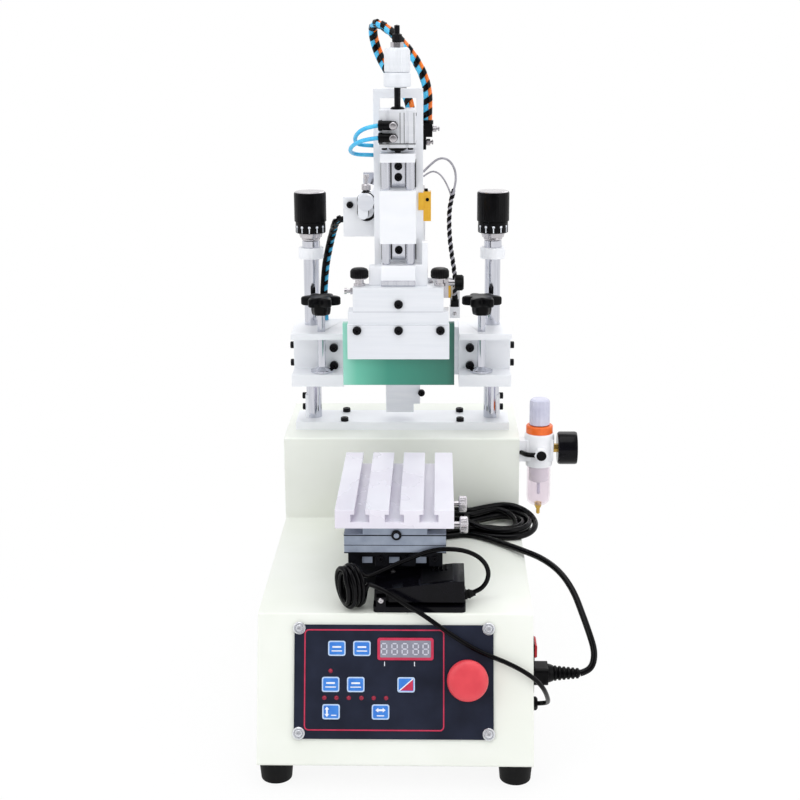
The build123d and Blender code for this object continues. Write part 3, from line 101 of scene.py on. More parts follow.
# %% Colour and node helpers
def paint(red, green, blue):
    """A colour as picked on a screen, 0 to 255, made linear for the shaders."""
    def linear(value):
        value /= 255
        return value / 12.92 if value <= 0.04045 else ((value + 0.055) / 1.055) ** 2.4
    return (linear(red), linear(green), linear(blue), 1)


WHITE = (1, 1, 1, 1)


def join(tree, target, sockets):
    """Give a node's sockets values, or link them to the outputs of other nodes."""
    for key, value in sockets.items():
        if isinstance(value, bpy.types.NodeSocket):
            tree.links.new(value, target.inputs[key])
        else:
            target.inputs[key].default_value = value


def node(tree, kind, sockets=None, **settings):
    """Add a shader node with its settings and sockets."""
    made = tree.nodes.new("ShaderNode" + kind)
    for name, setting in settings.items():
        setattr(made, name, setting)
    join(tree, made, sockets or {})
    return made


def is_seen(tree):
    """1 for rays from the camera and rays seen in metal or glass."""
    path = node(tree, "LightPath").outputs
    either = node(tree, "Math", {0: path["Is Camera Ray"], 1: path["Is Transmission Ray"]},
                  operation="MAXIMUM")
    any_of = node(tree, "Math", {0: either.outputs[0], 1: path["Is Glossy Ray"]},
                  operation="MAXIMUM")
    return any_of.outputs[0]


# %% Floor
FLOOR_HALF = 6
FLOOR_TONE = (0.86, 0.86, 0.86, 1)
NEAR_WHITE = 0.9
NEAR_REACH, FAR_REACH = 0.3, 0.75
floor_mesh = bpy.data.meshes.new("floor")
floor_mesh.from_pydata([(-FLOOR_HALF, -FLOOR_HALF, 0), (FLOOR_HALF, -FLOOR_HALF, 0),
                        (FLOOR_HALF, FLOOR_HALF, 0), (-FLOOR_HALF, FLOOR_HALF, 0)],
                       [], [(0, 1, 2, 3)])
floor = placed("floor", floor_mesh)

floor_paint = bpy.data.materials.new("floor_white")
floor_paint.use_nodes = True
tree = floor_paint.node_tree
matt = tree.nodes["Principled BSDF"]
join(tree, matt, {"Base Color": FLOOR_TONE, "Roughness": 0.9})
glow = node(tree, "Emission", {"Color": WHITE})
spot = node(tree, "TexCoord")
distance = node(tree, "VectorMath", {0: spot.outputs["Object"]}, operation="LENGTH")
fade = node(tree, "MapRange", {"From Min": NEAR_REACH, "From Max": FAR_REACH,
                               "To Min": NEAR_WHITE, "Value": distance.outputs["Value"]})
share = node(tree, "Math", {0: is_seen(tree), 1: fade.outputs["Result"]}, operation="MULTIPLY")
blend = node(tree, "MixShader", {0: share.outputs[0], 1: matt.outputs[0], 2: glow.outputs[0]})
join(tree, tree.nodes["Material Output"], {"Surface": blend.outputs[0]})
floor_mesh.materials.append(floor_paint)
print("floor", 2 * FLOOR_HALF, "m wide")


# %% Sky
ROOM_LIGHT = 0.85
world = bpy.data.worlds.new("studio")
world.use_nodes = True
bpy.context.scene.world = world
tree = world.node_tree
room = tree.nodes["Background"]
join(tree, room, {"Color": (0.97, 0.98, 1, 1), "Strength": ROOM_LIGHT})
facing = node(tree, "TexCoord")
parts = node(tree, "SeparateXYZ", {0: facing.outputs["Generated"]})
from_front = node(tree, "MapRange", {"From Min": -1, "Value": parts.outputs["Y"]})
ramp = node(tree, "ValToRGB", {"Fac": from_front.outputs["Result"]})
levels = ramp.color_ramp.elements
for place, level in ((0, 0.16), (0.16, 0.30), (0.38, 0.92)):
    levels.new(place).color = (level, level, level * 1.02, 1)
levels.remove(levels[0])
levels[-1].color = WHITE
seen = node(tree, "Background", {"Color": ramp.outputs["Color"]})
choose = node(tree, "MixShader", {0: is_seen(tree), 1: room.outputs[0], 2: seen.outputs[0]})
white = node(tree, "Background", {"Color": WHITE})
path = node(tree, "LightPath")
behind = node(tree, "MixShader", {0: path.outputs["Is Camera Ray"], 1: choose.outputs[0],
                                  2: white.outputs[0]})
join(tree, tree.nodes["World Output"], {"Surface": behind.outputs[0]})
print("room light", ROOM_LIGHT)


# %% Lamps
def lamp(name, place, aim, size, watts):
    """A rectangular lamp that points at aim."""
    light = bpy.data.lights.new(name, "AREA")
    light.shape = "RECTANGLE"
    light.size, light.size_y = size
    light.energy = watts
    holder = placed(name, light)
    holder.location = place
    holder.rotation_euler = (Vector(aim) - Vector(place)).to_track_quat("-Z", "Y").to_euler()


MIDDLE = (0, 0, 0.3)
lamp("key_lamp", (-1.3, -1.5, 1.7), MIDDLE, (1.2, 1.2), 8.5)
lamp("fill_lamp", (1.6, -1.2, 1), MIDDLE, (1, 1.4), 5.5)
lamp("back_lamp", (0.6, 1.6, 1.6), MIDDLE, (1.4, 1), 8)
lamp("top_lamp", (0, -0.3, 2.1), (0, -0.1, 0.2), (1.6, 1.6), 12)
print("four lamps")


# %% [markdown]
# ## How a finish is made
# A single flat colour looks like plastic wrap. Real paint, metal and rubber change a
# little from place to place, and their gloss changes with them. One helper builds such
# a finish: a soft noise mixes two close colours and moves the roughness, and a finer
# noise lifts the surface. Stretching the noise along one direction turns it into the
# fine lines of brushed or milled metal.

# %% Finish helper
BUMP_HEIGHT = 0.1 * MM


def finish(name, light, dark, size_mm, stretch=(1, 1, 1), rough=(0.35, 0.5), metal=0,
           bump=0.1, bump_mm=0.8, coat=0, seen_through=0, contrast=0.5, shine=0.5):
    """A finish of two screen colours; size_mm and bump_mm size its blotches and its grain."""
    material = bpy.data.materials.new(name)
    material.use_nodes = True
    tree = material.node_tree
    place = node(tree, "TexCoord")
    mapping = node(tree, "Mapping", {"Scale": stretch, "Vector": place.outputs["Object"]})
    blotch = node(tree, "TexNoise", {"Scale": 1 / (size_mm * MM), "Detail": 4,
                                     "Vector": mapping.outputs["Vector"]})
    tones = node(tree, "ValToRGB", {"Fac": blotch.outputs["Fac"]})
    for end, side, colour in ((0, -1, dark), (1, 1, light)):
        tones.color_ramp.elements[end].position = 0.5 + side * contrast / 2
        tones.color_ramp.elements[end].color = paint(*colour)
    gloss = node(tree, "MapRange", {"To Min": rough[0], "To Max": rough[1],
                                    "Value": blotch.outputs["Fac"]})
    grain = node(tree, "TexNoise", {"Scale": 1 / (bump_mm * MM), "Detail": 2,
                                    "Vector": mapping.outputs["Vector"]})
    lift = node(tree, "Bump", {"Strength": bump, "Distance": BUMP_HEIGHT,
                               "Height": grain.outputs["Fac"]})
    join(tree, tree.nodes["Principled BSDF"],
         {"Base Color": tones.outputs["Color"], "Metallic": metal, "Coat Weight": coat,
          "Roughness": gloss.outputs["Result"], "Transmission Weight": seen_through,
          "Normal": lift.outputs["Normal"], "Specular IOR Level": shine})
    return material


# %% The finishes of this machine
cream = finish("cream_paint", (239, 241, 234), (233, 236, 226), 60, rough=(0.38, 0.5), bump=0.25,
               bump_mm=1.2, coat=0.1)
rubber = finish("black_rubber", (16, 16, 17), (8, 8, 9), 4, rough=(0.55, 0.75), bump=0.4,
                bump_mm=0.5, shine=0.18)
cable_black = finish("cable_black", (10, 9, 12), (4, 4, 5), 9, rough=(0.12, 0.2), bump=0.12,
                     bump_mm=0.7, shine=0.14)
black = finish("black_plastic", (11, 10, 13), (4, 4, 5), 5, rough=(0.26, 0.38), bump=0.3,
               bump_mm=0.4, shine=0.12)
black_oxide = finish("black_oxide_steel", (26, 25, 30), (9, 9, 11), 2, rough=(0.3, 0.45), metal=0.4,
                     bump=0.2, bump_mm=0.4, shine=0.2)
blue_tube = finish("blue_tube", (92, 210, 248), (52, 180, 238), 8, rough=(0.2, 0.3), bump=0.05,
                   seen_through=0.1)
orange_tube = finish("orange_tube", (250, 132, 34), (232, 104, 18), 8, rough=(0.22, 0.32),
                     bump=0.05)
grey_wire = finish("grey_wire", (172, 170, 178), (140, 138, 146), 6, rough=(0.4, 0.5))
print(len(bpy.data.materials), "finishes so far")


# %% [markdown]
# ## How the small parts are made
# Almost every knob, screw, washer and fitting here was turned on a lathe or moulded in
# a round mould. So one helper does most of the work: a list of rings, each with a
# radius and a height, joined by strips of faces. A ring can be a circle, a hexagon, a
# toothed ring or a ring of lobes, which gives sockets, knurls and star knobs as well.
# Boxes and pushed outlines do the rest, and a bevel takes the razor edge off each.

# %% Ring shapes
def circle(angle):
    """The same reach all round."""
    return 1


def hexagon(angle):
    """Across the corners 1, across the flats 0.87."""
    return cos(pi / 6) / cos(angle % (pi / 3) - pi / 6)


def teeth(count, depth):
    """A knurl or rib ring, cut in by a share of the radius."""
    return lambda angle: 1 - depth * (0.5 - 0.5 * cos(count * angle))


# %% Shapes in millimetres
# The shapes of a piece gather here, until piece() takes them and empties it.
work = bmesh.new()


def vertex(point):
    """A new corner of the shape; the point is in millimetres."""
    return work.verts.new(Vector(point) * MM)


def strips(loops, skin=0, capped=True):
    """Faces between neighbouring loops of points, and one on each end if capped."""
    faces = []
    for low, high in zip(loops, loops[1:]):
        count = max(len(low), len(high))
        for k in range(count):
            j = (k + 1) % count
            if len(low) == 1:
                corners = (low[0], high[j], high[k])
            elif len(high) == 1:
                corners = (low[k], low[j], high[0])
            else:
                corners = (low[k], low[j], high[j], high[k])
            faces.append(work.faces.new(corners))
    for end in (loops[0][::-1], loops[-1]):
        if capped and len(end) > 1:
            faces.append(work.faces.new(end))
    for face in faces:
        face.material_index = skin


def turned(rings, centre, axis=UP, sides=32, skin=0):
    """A round part: rings of (radius, height along the axis, optional shape)."""
    along = Vector(axis).normalized()
    across = Vector(RIGHT) if abs(along.z) > 0.9 else Vector(UP).cross(along).normalized()
    over = along.cross(across)
    loops = []
    for radius, height, *shapes in rings:
        shape = shapes[0] if shapes else circle
        middle = Vector(centre) + along * height
        if radius == 0:
            loops.append([vertex(middle)])
            continue
        loop = []
        for step in range(sides):
            angle = 2 * pi * step / sides
            reach = radius * shape(angle)
            loop.append(vertex(middle + across * (reach * cos(angle))
                               + over * (reach * sin(angle))))
        loops.append(loop)
    strips(loops, skin)


def box(low, high, skin=0):
    """A box between two corners."""
    corners = [vertex((x, y, z)) for x in (low[0], high[0]) for y in (low[1], high[1])
               for z in (low[2], high[2])]
    for face in ((0, 1, 3, 2), (4, 6, 7, 5), (0, 4, 5, 1), (2, 3, 7, 6), (0, 2, 6, 4),
                 (1, 5, 7, 3)):
        work.faces.new([corners[i] for i in face]).material_index = skin


def pushed(outline, start, shift, skin=0):
    """A flat outline of 3-D points, pushed along a shift; both ends are closed."""
    start, shift = Vector(start), Vector(shift)
    strips([[vertex(start + Vector(p)) for p in outline],
            [vertex(start + Vector(p) + shift) for p in outline]], skin)


# %% From shapes to a piece
SHARP = 32
WELD_REACH = 0.00001


def belongs(made, body, stands_for):
    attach(made, body)
    if stands_for is not None:
        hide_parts(*stands_for)


def piece(name, skins, body, edge=0, angle=SHARP, stands_for=None):
    """Turn the shapes into an object that moves with a body."""
    bmesh.ops.recalc_face_normals(work, faces=work.faces)
    mesh = bpy.data.meshes.new(name)
    work.to_mesh(mesh)
    work.clear()
    for skin in skins:
        mesh.materials.append(skin)
    made = placed(name, mesh)
    mesh.shade_smooth()
    if edge:
        soften(made, edge, angle)
    else:
        mesh.set_sharp_from_angle(angle=radians(angle))
    belongs(made, body, stands_for)
    return made


def soften(made, width_mm, angle=SHARP):
    """Round the sharp edges a little, as a file or a mould would."""
    bevel = made.modifiers.new("softened", "BEVEL")
    bevel.width = width_mm * MM
    bevel.segments = 2
    bevel.limit_method = "ANGLE"
    bevel.angle_limit = radians(angle)
    made.modifiers.new("even_shading", "WEIGHTED_NORMAL")


def dress(name, material, edge=0):
    """Give a solid of the frame its finish, and softened edges if asked."""
    solid = solids[name]
    solid.data.materials.clear()
    solid.data.materials.append(material)
    if edge:
        weld = solid.modifiers.new("joined", "WELD")
        weld.merge_threshold = WELD_REACH
        soften(solid, edge)


print("helpers ready")


# %% [markdown]
# ## Cords and hoses
# A cord is a fixed length of something flexible. Its line is one smooth NURBS curve
# through listed points, and the same points shape the solid in the frame.
# The coiled parts are more points of the same curve: turns of slightly different size,
# laid on and beside each other, because nobody coils a cable like a spring.

# %% Curve helpers
def route(name, points):
    """A smooth open curve; the points are in millimetres."""
    curve = bpy.data.curves.new(name, "CURVE")
    curve.dimensions = "3D"
    curve.resolution_u = 6
    spline = curve.splines.new("NURBS")
    spline.points.add(len(points) - 1)
    for target, point in zip(spline.points, points):
        target.co = (*(Vector(point) * MM), 1)
    spline.order_u = 3
    spline.use_endpoint_u = True
    return curve


def cable(name, points, diameter_mm, material, body, stands_for):
    """A round cable, drawn as a thick curve."""
    curve = route(name, points)
    curve.bevel_depth = diameter_mm * MM / 2
    curve.bevel_resolution = 4
    curve.use_fill_caps = True
    curve.materials.append(material)
    made = placed(name, curve)
    belongs(made, body, stands_for)
    return made


def line_of(points):
    """Points along the smooth curve of a route, in metres."""
    bare = bpy.data.objects.new("bare_line", route("bare_line", points))
    mesh = bpy.data.meshes.new_from_object(bare)
    line = [v.co.copy() for v in mesh.vertices]
    bpy.data.meshes.remove(mesh)
    bpy.data.curves.remove(bare.data)
    return line


def length_of(line):
    """In metres, like the line."""
    return sum((b - a).length for a, b in zip(line, line[1:]))


# %% [markdown]
# ### The foot pedal's cable
# The cable leaves the pedal at the right, arches back over it, is wound into a small
# coil at the left, and runs down over the panel to its gland in the cabinet's side.
# The coil stands upright and is turned towards the camera, so its eye shows at the
# left. It has two layers of about four turns, 75 to 100 mm round, and the whole cable
# is a little over a metre long.

# %% Pedal cable
DECK = 146.3
pedal_arch = [(61.4, -143, 153), (72, -143, 155.5), (80.2, -143, 163.5), (82.4, -143, 175),
              (76.5, -143, 186), (65, -143, 193.2), (50.5, -143, 195.8), (36, -143, 195.2),
              (22.5, -143.5, 191.4), (9, -144.5, 185.8), (-4.5, -147, 180.6),
              (-15.5, -150.5, 176.6), (-25, -154, 173.5)]
pedal_tail = [(-25, -165.5, 172.5), (-17, -169, 170.5), (-9, -171.5, 167.5), (-1, -173, 162.5),
              (9.5, -173.5, 155.5), (22.5, -176, 148.5), (37.5, -179.5, 138.6), (52, -182.8, 129.5),
              (68, -185.9, 120.2), (82.5, -188.2, 114.3), (96.5, -190, 109.2),
              (109.5, -192.5, 103.3), (120.5, -194, 96.2), (128, -190.5, 86.5), (132, -181.5, 75.5),
              (134.5, -171.5, 65), (134.5, -162.5, 57.5), (126, -160, 56)]
COIL_MIDDLE = Vector((-38, -159.8, DECK + 21.4))
COIL_AXIS = Vector((-0.76, -0.65, 0))
COIL_ACROSS = Vector((0.65, -0.76, 0))
COIL_UP = Vector((-0.1, 0, 1))
COIL_PITCH = 4.3
TURN_POINTS = 14
chance = Random(7)


def coil_layer(turns, start, first_angle, way, half_width, half_height):
    """Turns of an upright oval coil; way says in which direction it grows."""
    points = []
    for step in range(round(turns * TURN_POINTS)):
        if step % TURN_POINTS == 0:
            width = half_width + chance.uniform(-0.8, 0.8)
            tall = half_height + chance.uniform(-1.3, 0.5)
        part = step / TURN_POINTS
        angle = radians(first_angle) + 2 * pi * part
        points.append(COIL_MIDDLE + COIL_AXIS * (start + way * COIL_PITCH * part)
                      + COIL_ACROSS * (width * cos(angle)) + COIL_UP * (tall * sin(angle)))
    return points


inner = coil_layer(4, -6.6, 65, 1, 8.4, 14.8)
outer = coil_layer(3.7, 8.8, 65, -1, 12.4, 18.9)
pedal_points = pedal_arch + inner + outer + pedal_tail
pedal_cable = cable("pedal_cable", pedal_points, 4.2, cable_black, "machine",
                    ("pedal_cord_loop", "pedal_hank", "pedal_cord_tail"))
pedal_length = length_of(line_of(pedal_points))
print("pedal cable", round(pedal_length, 3), "m")


# %% [markdown]
# ### The power lead
# A lead of this kind is about 1.8 m long. From its socket at the right it rises and
# runs over the deck behind the table, where the rest is a hank of five loops with the
# plug at its left end. A tie pinches the hank, and beyond it the loops open to an eye
# at the right: they lie two high in front and lean three high on the box behind.

# %% Power lead
power_run = [(165, -140, 76), (172.5, -139.5, 78), (177.5, -136.5, 84.5), (178.5, -130.5, 94.5),
             (174.5, -121, 106.5), (169, -107.5, 120), (162.5, -89, 134.5), (151.5, -69.5, 146),
             (136, -49.5, 151.5), (119, -28, 151), (103, -8, 150), (84, 12, 149.7)]
TIE_X = 66
TIE_FRONT, TIE_BACK = 9.5, -22
NECK_LEFT, NECK_RIGHT = 50, 84
SWELL = 1.035
BENDS = [radians(a) for a in (-90, -60, -30, 0, 30, 60, 90)]
LEFT_RISE = (0, 0, 0, 0.05, 0.4, 0.84, 1)
RIGHT_RISE = (0, 0, 0.1, 0.3, 0.55, 0.86, 1)
# Each loop: its left and right end, y and height in front, y and height at the back.
loops = [(3.1, 135, 13.2, 3.1, 72, 17.2), (9.2, 128, 19.3, 3.1, 72, 4.6),
         (21.3, 116, 25.4, 3.1, 66, 14.6), (15.2, 122, 22.3, 8.6, 66, 8.2),
         (9, 129, 16.2, 8.6, 72, 10.9)]
coil = []
for left, loop_right, front, low, back, high in loops:
    middle, half = (front + back) / 2, (back - front) / 2
    reach = SWELL * half
    low, high = DECK + low, DECK + high
    coil += [(TIE_X, front + TIE_FRONT, low), (NECK_LEFT, front + 4, low)]
    for angle, rise in zip(BENDS, LEFT_RISE):
        coil.append((left + half - reach * cos(angle), middle + reach * sin(angle),
                     low + rise * (high - low)))
    coil += [(NECK_LEFT, back - 9, high), (TIE_X, back + TIE_BACK, high),
             (NECK_RIGHT, back - 9, high)]
    for angle, rise in zip(BENDS[::-1], RIGHT_RISE[::-1]):
        coil.append((loop_right - half + reach * cos(angle), middle + reach * sin(angle),
                     low + rise * (high - low)))
    coil.append((NECK_RIGHT, front + 5, low))
power_end = [(TIE_X, 28.8, DECK + 14.6), (50, 36, DECK + 15.2), (37, 39.6, DECK + 15.2),
             (27, 41.2, DECK + 15.2), (18, 42.2, DECK + 15.6), (12, 42.4, DECK + 15.6),
             (7, 42.6, DECK + 13), (2, 42.6, DECK + 10.2)]
power_points = power_run + coil + power_end
power_lead = cable("power_lead", power_points, 6, cable_black, "machine",
                   ("power_cord", "power_hank"))
power_length = length_of(line_of(power_points))
print("power lead", round(power_length, 3), "m")


# %% [markdown]
# ### Wrapped hoses
# The air tubes and wires of the moving head are bundled, and a black plastic spiral
# is wound round each bundle. The bundle follows the hose's line, and the spiral is a
# flat ribbon that turns round the same line. Both are strips of faces swept along it.
# A frame that is carried on from point to point keeps the sweep from twisting.

# %% Sweeping along a line
FIRST_SIDE = (1, 0.35, 0.1)
RIBBON_STEP = 0.5
RIBBON_CHAMFER = 0.3


def carried_frames(line):
    """A pair of directions across the line at each of its points, and the one along it."""
    frames = []
    side = Vector(FIRST_SIDE)
    for i in range(len(line)):
        along = (line[min(i + 1, len(line) - 1)] - line[max(i - 1, 0)]).normalized()
        side = (side - along * side.dot(along)).normalized()
        frames.append((side, along.cross(side), along))
    return frames


def evenly(line, step):
    """The same line with points a step apart."""
    spaced, carry = [line[0]], 0
    for a, b in zip(line, line[1:]):
        run = (b - a).length
        while carry + run >= step:
            a = a.lerp(b, (step - carry) / run)
            run = (b - a).length
            carry = 0
            spaced.append(a)
        carry += run
    if (spaced[-1] - line[-1]).length > step / 4:
        spaced.append(line[-1])
    return spaced


def swept(line, radius_mm, sides, skin, offset=lambda i: (0, 0)):
    """A tube along a line; radius_mm(i) and offset(i) are in millimetres, at point i."""
    rings = []
    for i, (point, (side, over, _)) in enumerate(zip(line, carried_frames(line))):
        dx, dy = offset(i)
        middle = point + side * (dx * MM) + over * (dy * MM)
        radius = radius_mm(i) * MM
        rings.append([work.verts.new(middle + side * (radius * cos(a)) + over * (radius * sin(a)))
                      for a in (2 * pi * k / sides for k in range(sides))])
    strips(rings, skin)


def spiral(line, radius_mm, pitch_mm, width_mm, thick_mm, start=0):
    """A flat ribbon wound round a line; it starts so many millimetres along it."""
    fine = evenly(line, RIBBON_STEP * MM)
    half, deep = width_mm / 2, radius_mm - thick_mm
    profile = ((deep, -half), (radius_mm, -half + RIBBON_CHAMFER),
               (radius_mm, half - RIBBON_CHAMFER), (deep, half))
    sections = []
    for i, (side, over, along) in list(enumerate(carried_frames(fine)))[int(start / RIBBON_STEP):]:
        angle = 2 * pi * i * RIBBON_STEP / pitch_mm
        out = side * cos(angle) + over * sin(angle)
        sections.append([work.verts.new(fine[i] + out * (reach * MM) + along * (shift * MM))
                         for reach, shift in profile])
    strips(sections)


# %% The hose over the print head
top_points = [(26.8, 81, 549), (27, 81.2, 562), (27.3, 81.6, 575), (25, 82.5, 587.5),
              (20.5, 84, 599), (14, 86.5, 610), (5.5, 90, 621), (-5, 95, 631.5),
              (-15.5, 103, 639.5), (-23.5, 114, 642.5), (-27.5, 125, 637), (-26, 131, 625),
              (-21.5, 129, 611.5), (-14.5, 121, 599), (-6, 108.5, 588), (3, 95.5, 579),
              (9.5, 85, 569), (11, 81, 556)]
BUNDLE_SPREAD = 1.95
BUNDLE_TWIST = 0.006
TUBE_INSET = 1.9
RIBBON_THICK = 0.9
CORE_STEP = 2


def bundle_hose(name, points, diameter_mm, inner_skins, body, stands_for, pitch_mm, ribbon_mm):
    """Two tubes side by side, wrapped in a black spiral; the whole is one piece."""
    line = line_of(points)
    core = evenly(line, CORE_STEP * MM)
    for number, start in enumerate((0, pi)):
        def beside(i, start=start):
            angle = start + i * BUNDLE_TWIST
            return BUNDLE_SPREAD * cos(angle), BUNDLE_SPREAD * sin(angle)

        swept(core, lambda i: diameter_mm / 2 - TUBE_INSET, 12, number + 1, beside)
    spiral(line, diameter_mm / 2, pitch_mm, ribbon_mm, RIBBON_THICK)
    made = piece(name, [cable_black, *inner_skins], body, stands_for=stands_for)


bundle_hose("top_hose_bundle", top_points, 9, [orange_tube, blue_tube], "carriage",
            ("top_hose",), 12.5, 6.2)
left_points = [(-56.4, 118, 452), (-63, 121, 450.5), (-67.5, 130, 445.5), (-70, 142, 437.5),
               (-73.5, 152, 426.5), (-77, 157, 412.5), (-80, 158, 398), (-81.5, 157, 383),
               (-82.5, 154.5, 368), (-82, 151.5, 354), (-81.5, 150, 340.3)]
bundle_hose("left_hose_bundle", left_points, 8, [blue_tube, cable_black], "crosshead",
            ("left_hose",), 10.5, 4.4)
print("two wrapped hoses")


# %% [markdown]
# ### The sensor's wires and the air tubes
# Two thin grey wires leave the side of the head plate and meet in a narrow black wrap
# that runs down to the limit sensor. Two clear blue air tubes run from the elbows on
# the lift cylinder round to its back, and a short black tube feeds the air filter.

# %% Sensor wires
sensor_points = [(22.65, 68, 503), (31, 69.5, 511.5), (39.5, 72, 516.5), (47.5, 74.5, 514),
                 (53, 76, 506), (54.6, 76.2, 496), (52.8, 75.2, 486), (50, 74, 476.5),
                 (48.1, 72, 466), (47.7, 69.8, 454), (48.2, 67.6, 442), (49.4, 65.4, 430),
                 (51.3, 63.6, 417.5), (53.2, 62.4, 404.5), (54, 62, 392), (53.6, 62.2, 379.5)]
WIRE_RADIUS, WRAPPED_RADIUS = 1.1, 1.75
WRAP_START = 62
sensor_line = line_of(sensor_points)
swept(evenly(sensor_line, CORE_STEP * MM),
      lambda i: WIRE_RADIUS if CORE_STEP * i < WRAP_START else WRAPPED_RADIUS, 10, 1)
spiral(sensor_line, 2.3, 7, 4.4, 0.5, start=WRAP_START)
sensor_lead = piece("sensor_wire_wrapped", [cable_black, grey_wire], "carriage",
                    stands_for=("sensor_lead",))
second_points = [(22.65, 68, 498.5), (29.5, 69.5, 503.8), (36.5, 72, 502.4), (42, 74.5, 496.6),
                 (46.5, 75.5, 488), (50.2, 74.6, 478.6), (49.4, 73.9, 472)]
second_wire = cable("sensor_wire_second", second_points, 1.7, grey_wire, "carriage",
                    ())
length_of(line_of(second_points))
print("sensor wires", round(length_of(sensor_line), 3), "m")


# %% Air tubes
tube_a_points = [(-19, 27, 550.5), (-28.5, 27.3, 549), (-36.5, 31, 545), (-41, 40, 539.5),
                 (-42, 51.5, 534.5), (-40.5, 63, 530.5), (-35, 73.5, 528.2), (-25, 78, 527.5)]
tube_b_points = [(-19, 27, 539), (-30, 27.5, 537.8), (-40, 32.5, 534), (-45.5, 42.5, 529),
                 (-47, 54, 524.5), (-44.5, 65.5, 521), (-37, 74.5, 519), (-25, 78, 518.5)]
for letter, points in (("a", tube_a_points), ("b", tube_b_points)):
    tube = cable(f"lift_tube_{letter}", points, 4, blue_tube, "carriage",
                 (f"air_tube_{letter}",))
    length_of(line_of(points))
filter_points = [(136.5, 66.5, 218), (130.5, 66.6, 218.1), (125.8, 69.6, 217.9), (123.4, 75, 217.7),
                 (120, 80.5, 217.6)]
cable("filter_feed_tube", filter_points, 5, cable_black, "machine", ("filter_tube",))
print("air tubes done")


# %% [markdown]
# ## Cabinet and feet
# The cabinet is bent sheet steel with a pale cream powder coat. The solid has the right
# bends already, so it only needs the paint. The back is not in the picture; machines
# like this have a screwed cover there with louvres, so a plain one is added.

# %% Cabinet
steel = finish("polished_steel", (216, 217, 224), (194, 196, 205), 9, stretch=(3, 3, 0.2),
               rough=(0.06, 0.12), metal=1, bump=0.02)
screw_steel = finish("screw_steel", (208, 205, 208), (178, 174, 178), 9, rough=(0.14, 0.24),
                     metal=0.9, bump=0.04)


def socket_screw(place, axis, radius, height, skin=0):
    """A socket head screw: knurled head, softened rim, hexagon hole."""
    grip = teeth(24, 0.045)
    turned([(radius * 0.9, -0.4), (radius, 0, grip), (radius, height - 0.5, grip),
            (radius * 0.88, height), (radius * 0.56, height), (radius * 0.52, height, hexagon),
            (radius * 0.5, height - 2.2, hexagon), (0, height - 2.6)], place, axis, 48, skin)


def pan_screw(place, axis, radius=3, height=1.6, skin=0):
    """A low round head with a hexagon hole."""
    turned([(radius, 0), (radius, height * 0.4), (radius * 0.8, height * 0.85),
            (radius * 0.4, height), (radius * 0.36, height, hexagon),
            (radius * 0.34, height * 0.4, hexagon), (0, height * 0.35)], place, axis, 24, skin)


dress("cabinet", cream)
dress("rubber_feet", rubber)
BACK_Y = 215
box((-96, BACK_Y - 0.2, 44), (96, BACK_Y + 1.2, 212))
for column_x in (-46, 46):
    for row in range(7):
        z = 74 + 9 * row
        pushed([(0, 0, 0), (0, 1.9, 1.2), (0, 1.9, 2.2), (0, 0, 5)],
               (column_x - 26, BACK_Y + 1.1, z), (52, 0, 0))
piece("back_cover", [cream], "machine", edge=0.4)
for x in (-88, 0, 88):
    for z in (52, 204):
        pan_screw((x, BACK_Y + 1.2, z), BACK)
piece("back_cover_screws", [screw_steel], "machine")
print("cabinet done")


# %% [markdown]
# ## Control panel
# The panel is a dark blue printed film on a thin plate, held by four screws in cup
# washers. Raised keys, a framed number window and small lamps sit on it. The front
# leans back, so a helper turns distances along and up the slope into real places.

# %% The leaning face
LEANS_BACK, OVER_HEIGHT = 44, 124.3
FACE_ANGLE = atan2(LEANS_BACK, OVER_HEIGHT)
FACE_OUT = Vector((0, -cos(FACE_ANGLE), sin(FACE_ANGLE)))
FACE_UP = Vector((0, sin(FACE_ANGLE), cos(FACE_ANGLE)))
FACE_CORNER = Vector((0, -215, 22))
PLATE = 2
CORNER_STEPS = 5
NOWHERE = (0, 0, 0)


def on_face(u, v, w=0):
    """A place u across the face, v up its slope and w out of it."""
    return FACE_CORNER + Vector((u, 0, 0)) + FACE_UP * v + FACE_OUT * w


def rounded(width, height, radius):
    """The outline of a rectangle with round corners."""
    outline = []
    for cx, cy, start in ((1, 1, 0), (-1, 1, 90), (-1, -1, 180), (1, -1, 270)):
        for step in range(CORNER_STEPS + 1):
            angle = radians(start + 90 * step / CORNER_STEPS)
            outline.append((cx * (width / 2 - radius) + radius * cos(angle),
                            cy * (height / 2 - radius) + radius * sin(angle)))
    return outline


def plate(outline, low, high, skin):
    """A thin plate on the face, of an outline in u and v, between two heights."""
    pushed([on_face(u, v, low) for u, v in outline], NOWHERE, FACE_OUT * (high - low), skin)


def slab(u, v, width, height, radius, low, high, skin=0):
    """A thin plate with round corners."""
    plate([(u + x, v + y) for x, y in rounded(width, height, radius)], low, high, skin)


# %% Panel finishes
navy = finish("panel_navy", (32, 38, 58), (22, 26, 42), 22, rough=(0.32, 0.45), bump=0.35,
              bump_mm=0.6, shine=0.3)
line_red = finish("panel_line_red", (206, 46, 84), (184, 36, 70), 6, bump=0.05)
key_blue = finish("key_blue", (66, 138, 222), (44, 112, 204), 8, rough=(0.3, 0.4))
key_edge = finish("key_edge_pale", (196, 216, 240), (176, 200, 232), 6, bump=0.05)
mark_white = finish("mark_white", (240, 243, 248), (222, 226, 234), 5, bump=0.05)
window_grey = finish("window_grey", (150, 150, 162), (128, 128, 142), 10, rough=(0.12, 0.2),
                     bump=0.03, coat=0.5)
digit_grey = finish("digit_grey", (206, 207, 218), (188, 189, 202), 4, bump=0.05)
lamp_red = finish("lamp_red", (168, 46, 70), (140, 30, 54), 2, rough=(0.15, 0.25))
stop_red = finish("stop_red", (226, 70, 80), (212, 58, 70), 14, rough=(0.35, 0.48), bump=0.15,
                  bump_mm=0.6)
dress("control_panel", navy, edge=0.4)
print("panel finishes ready")


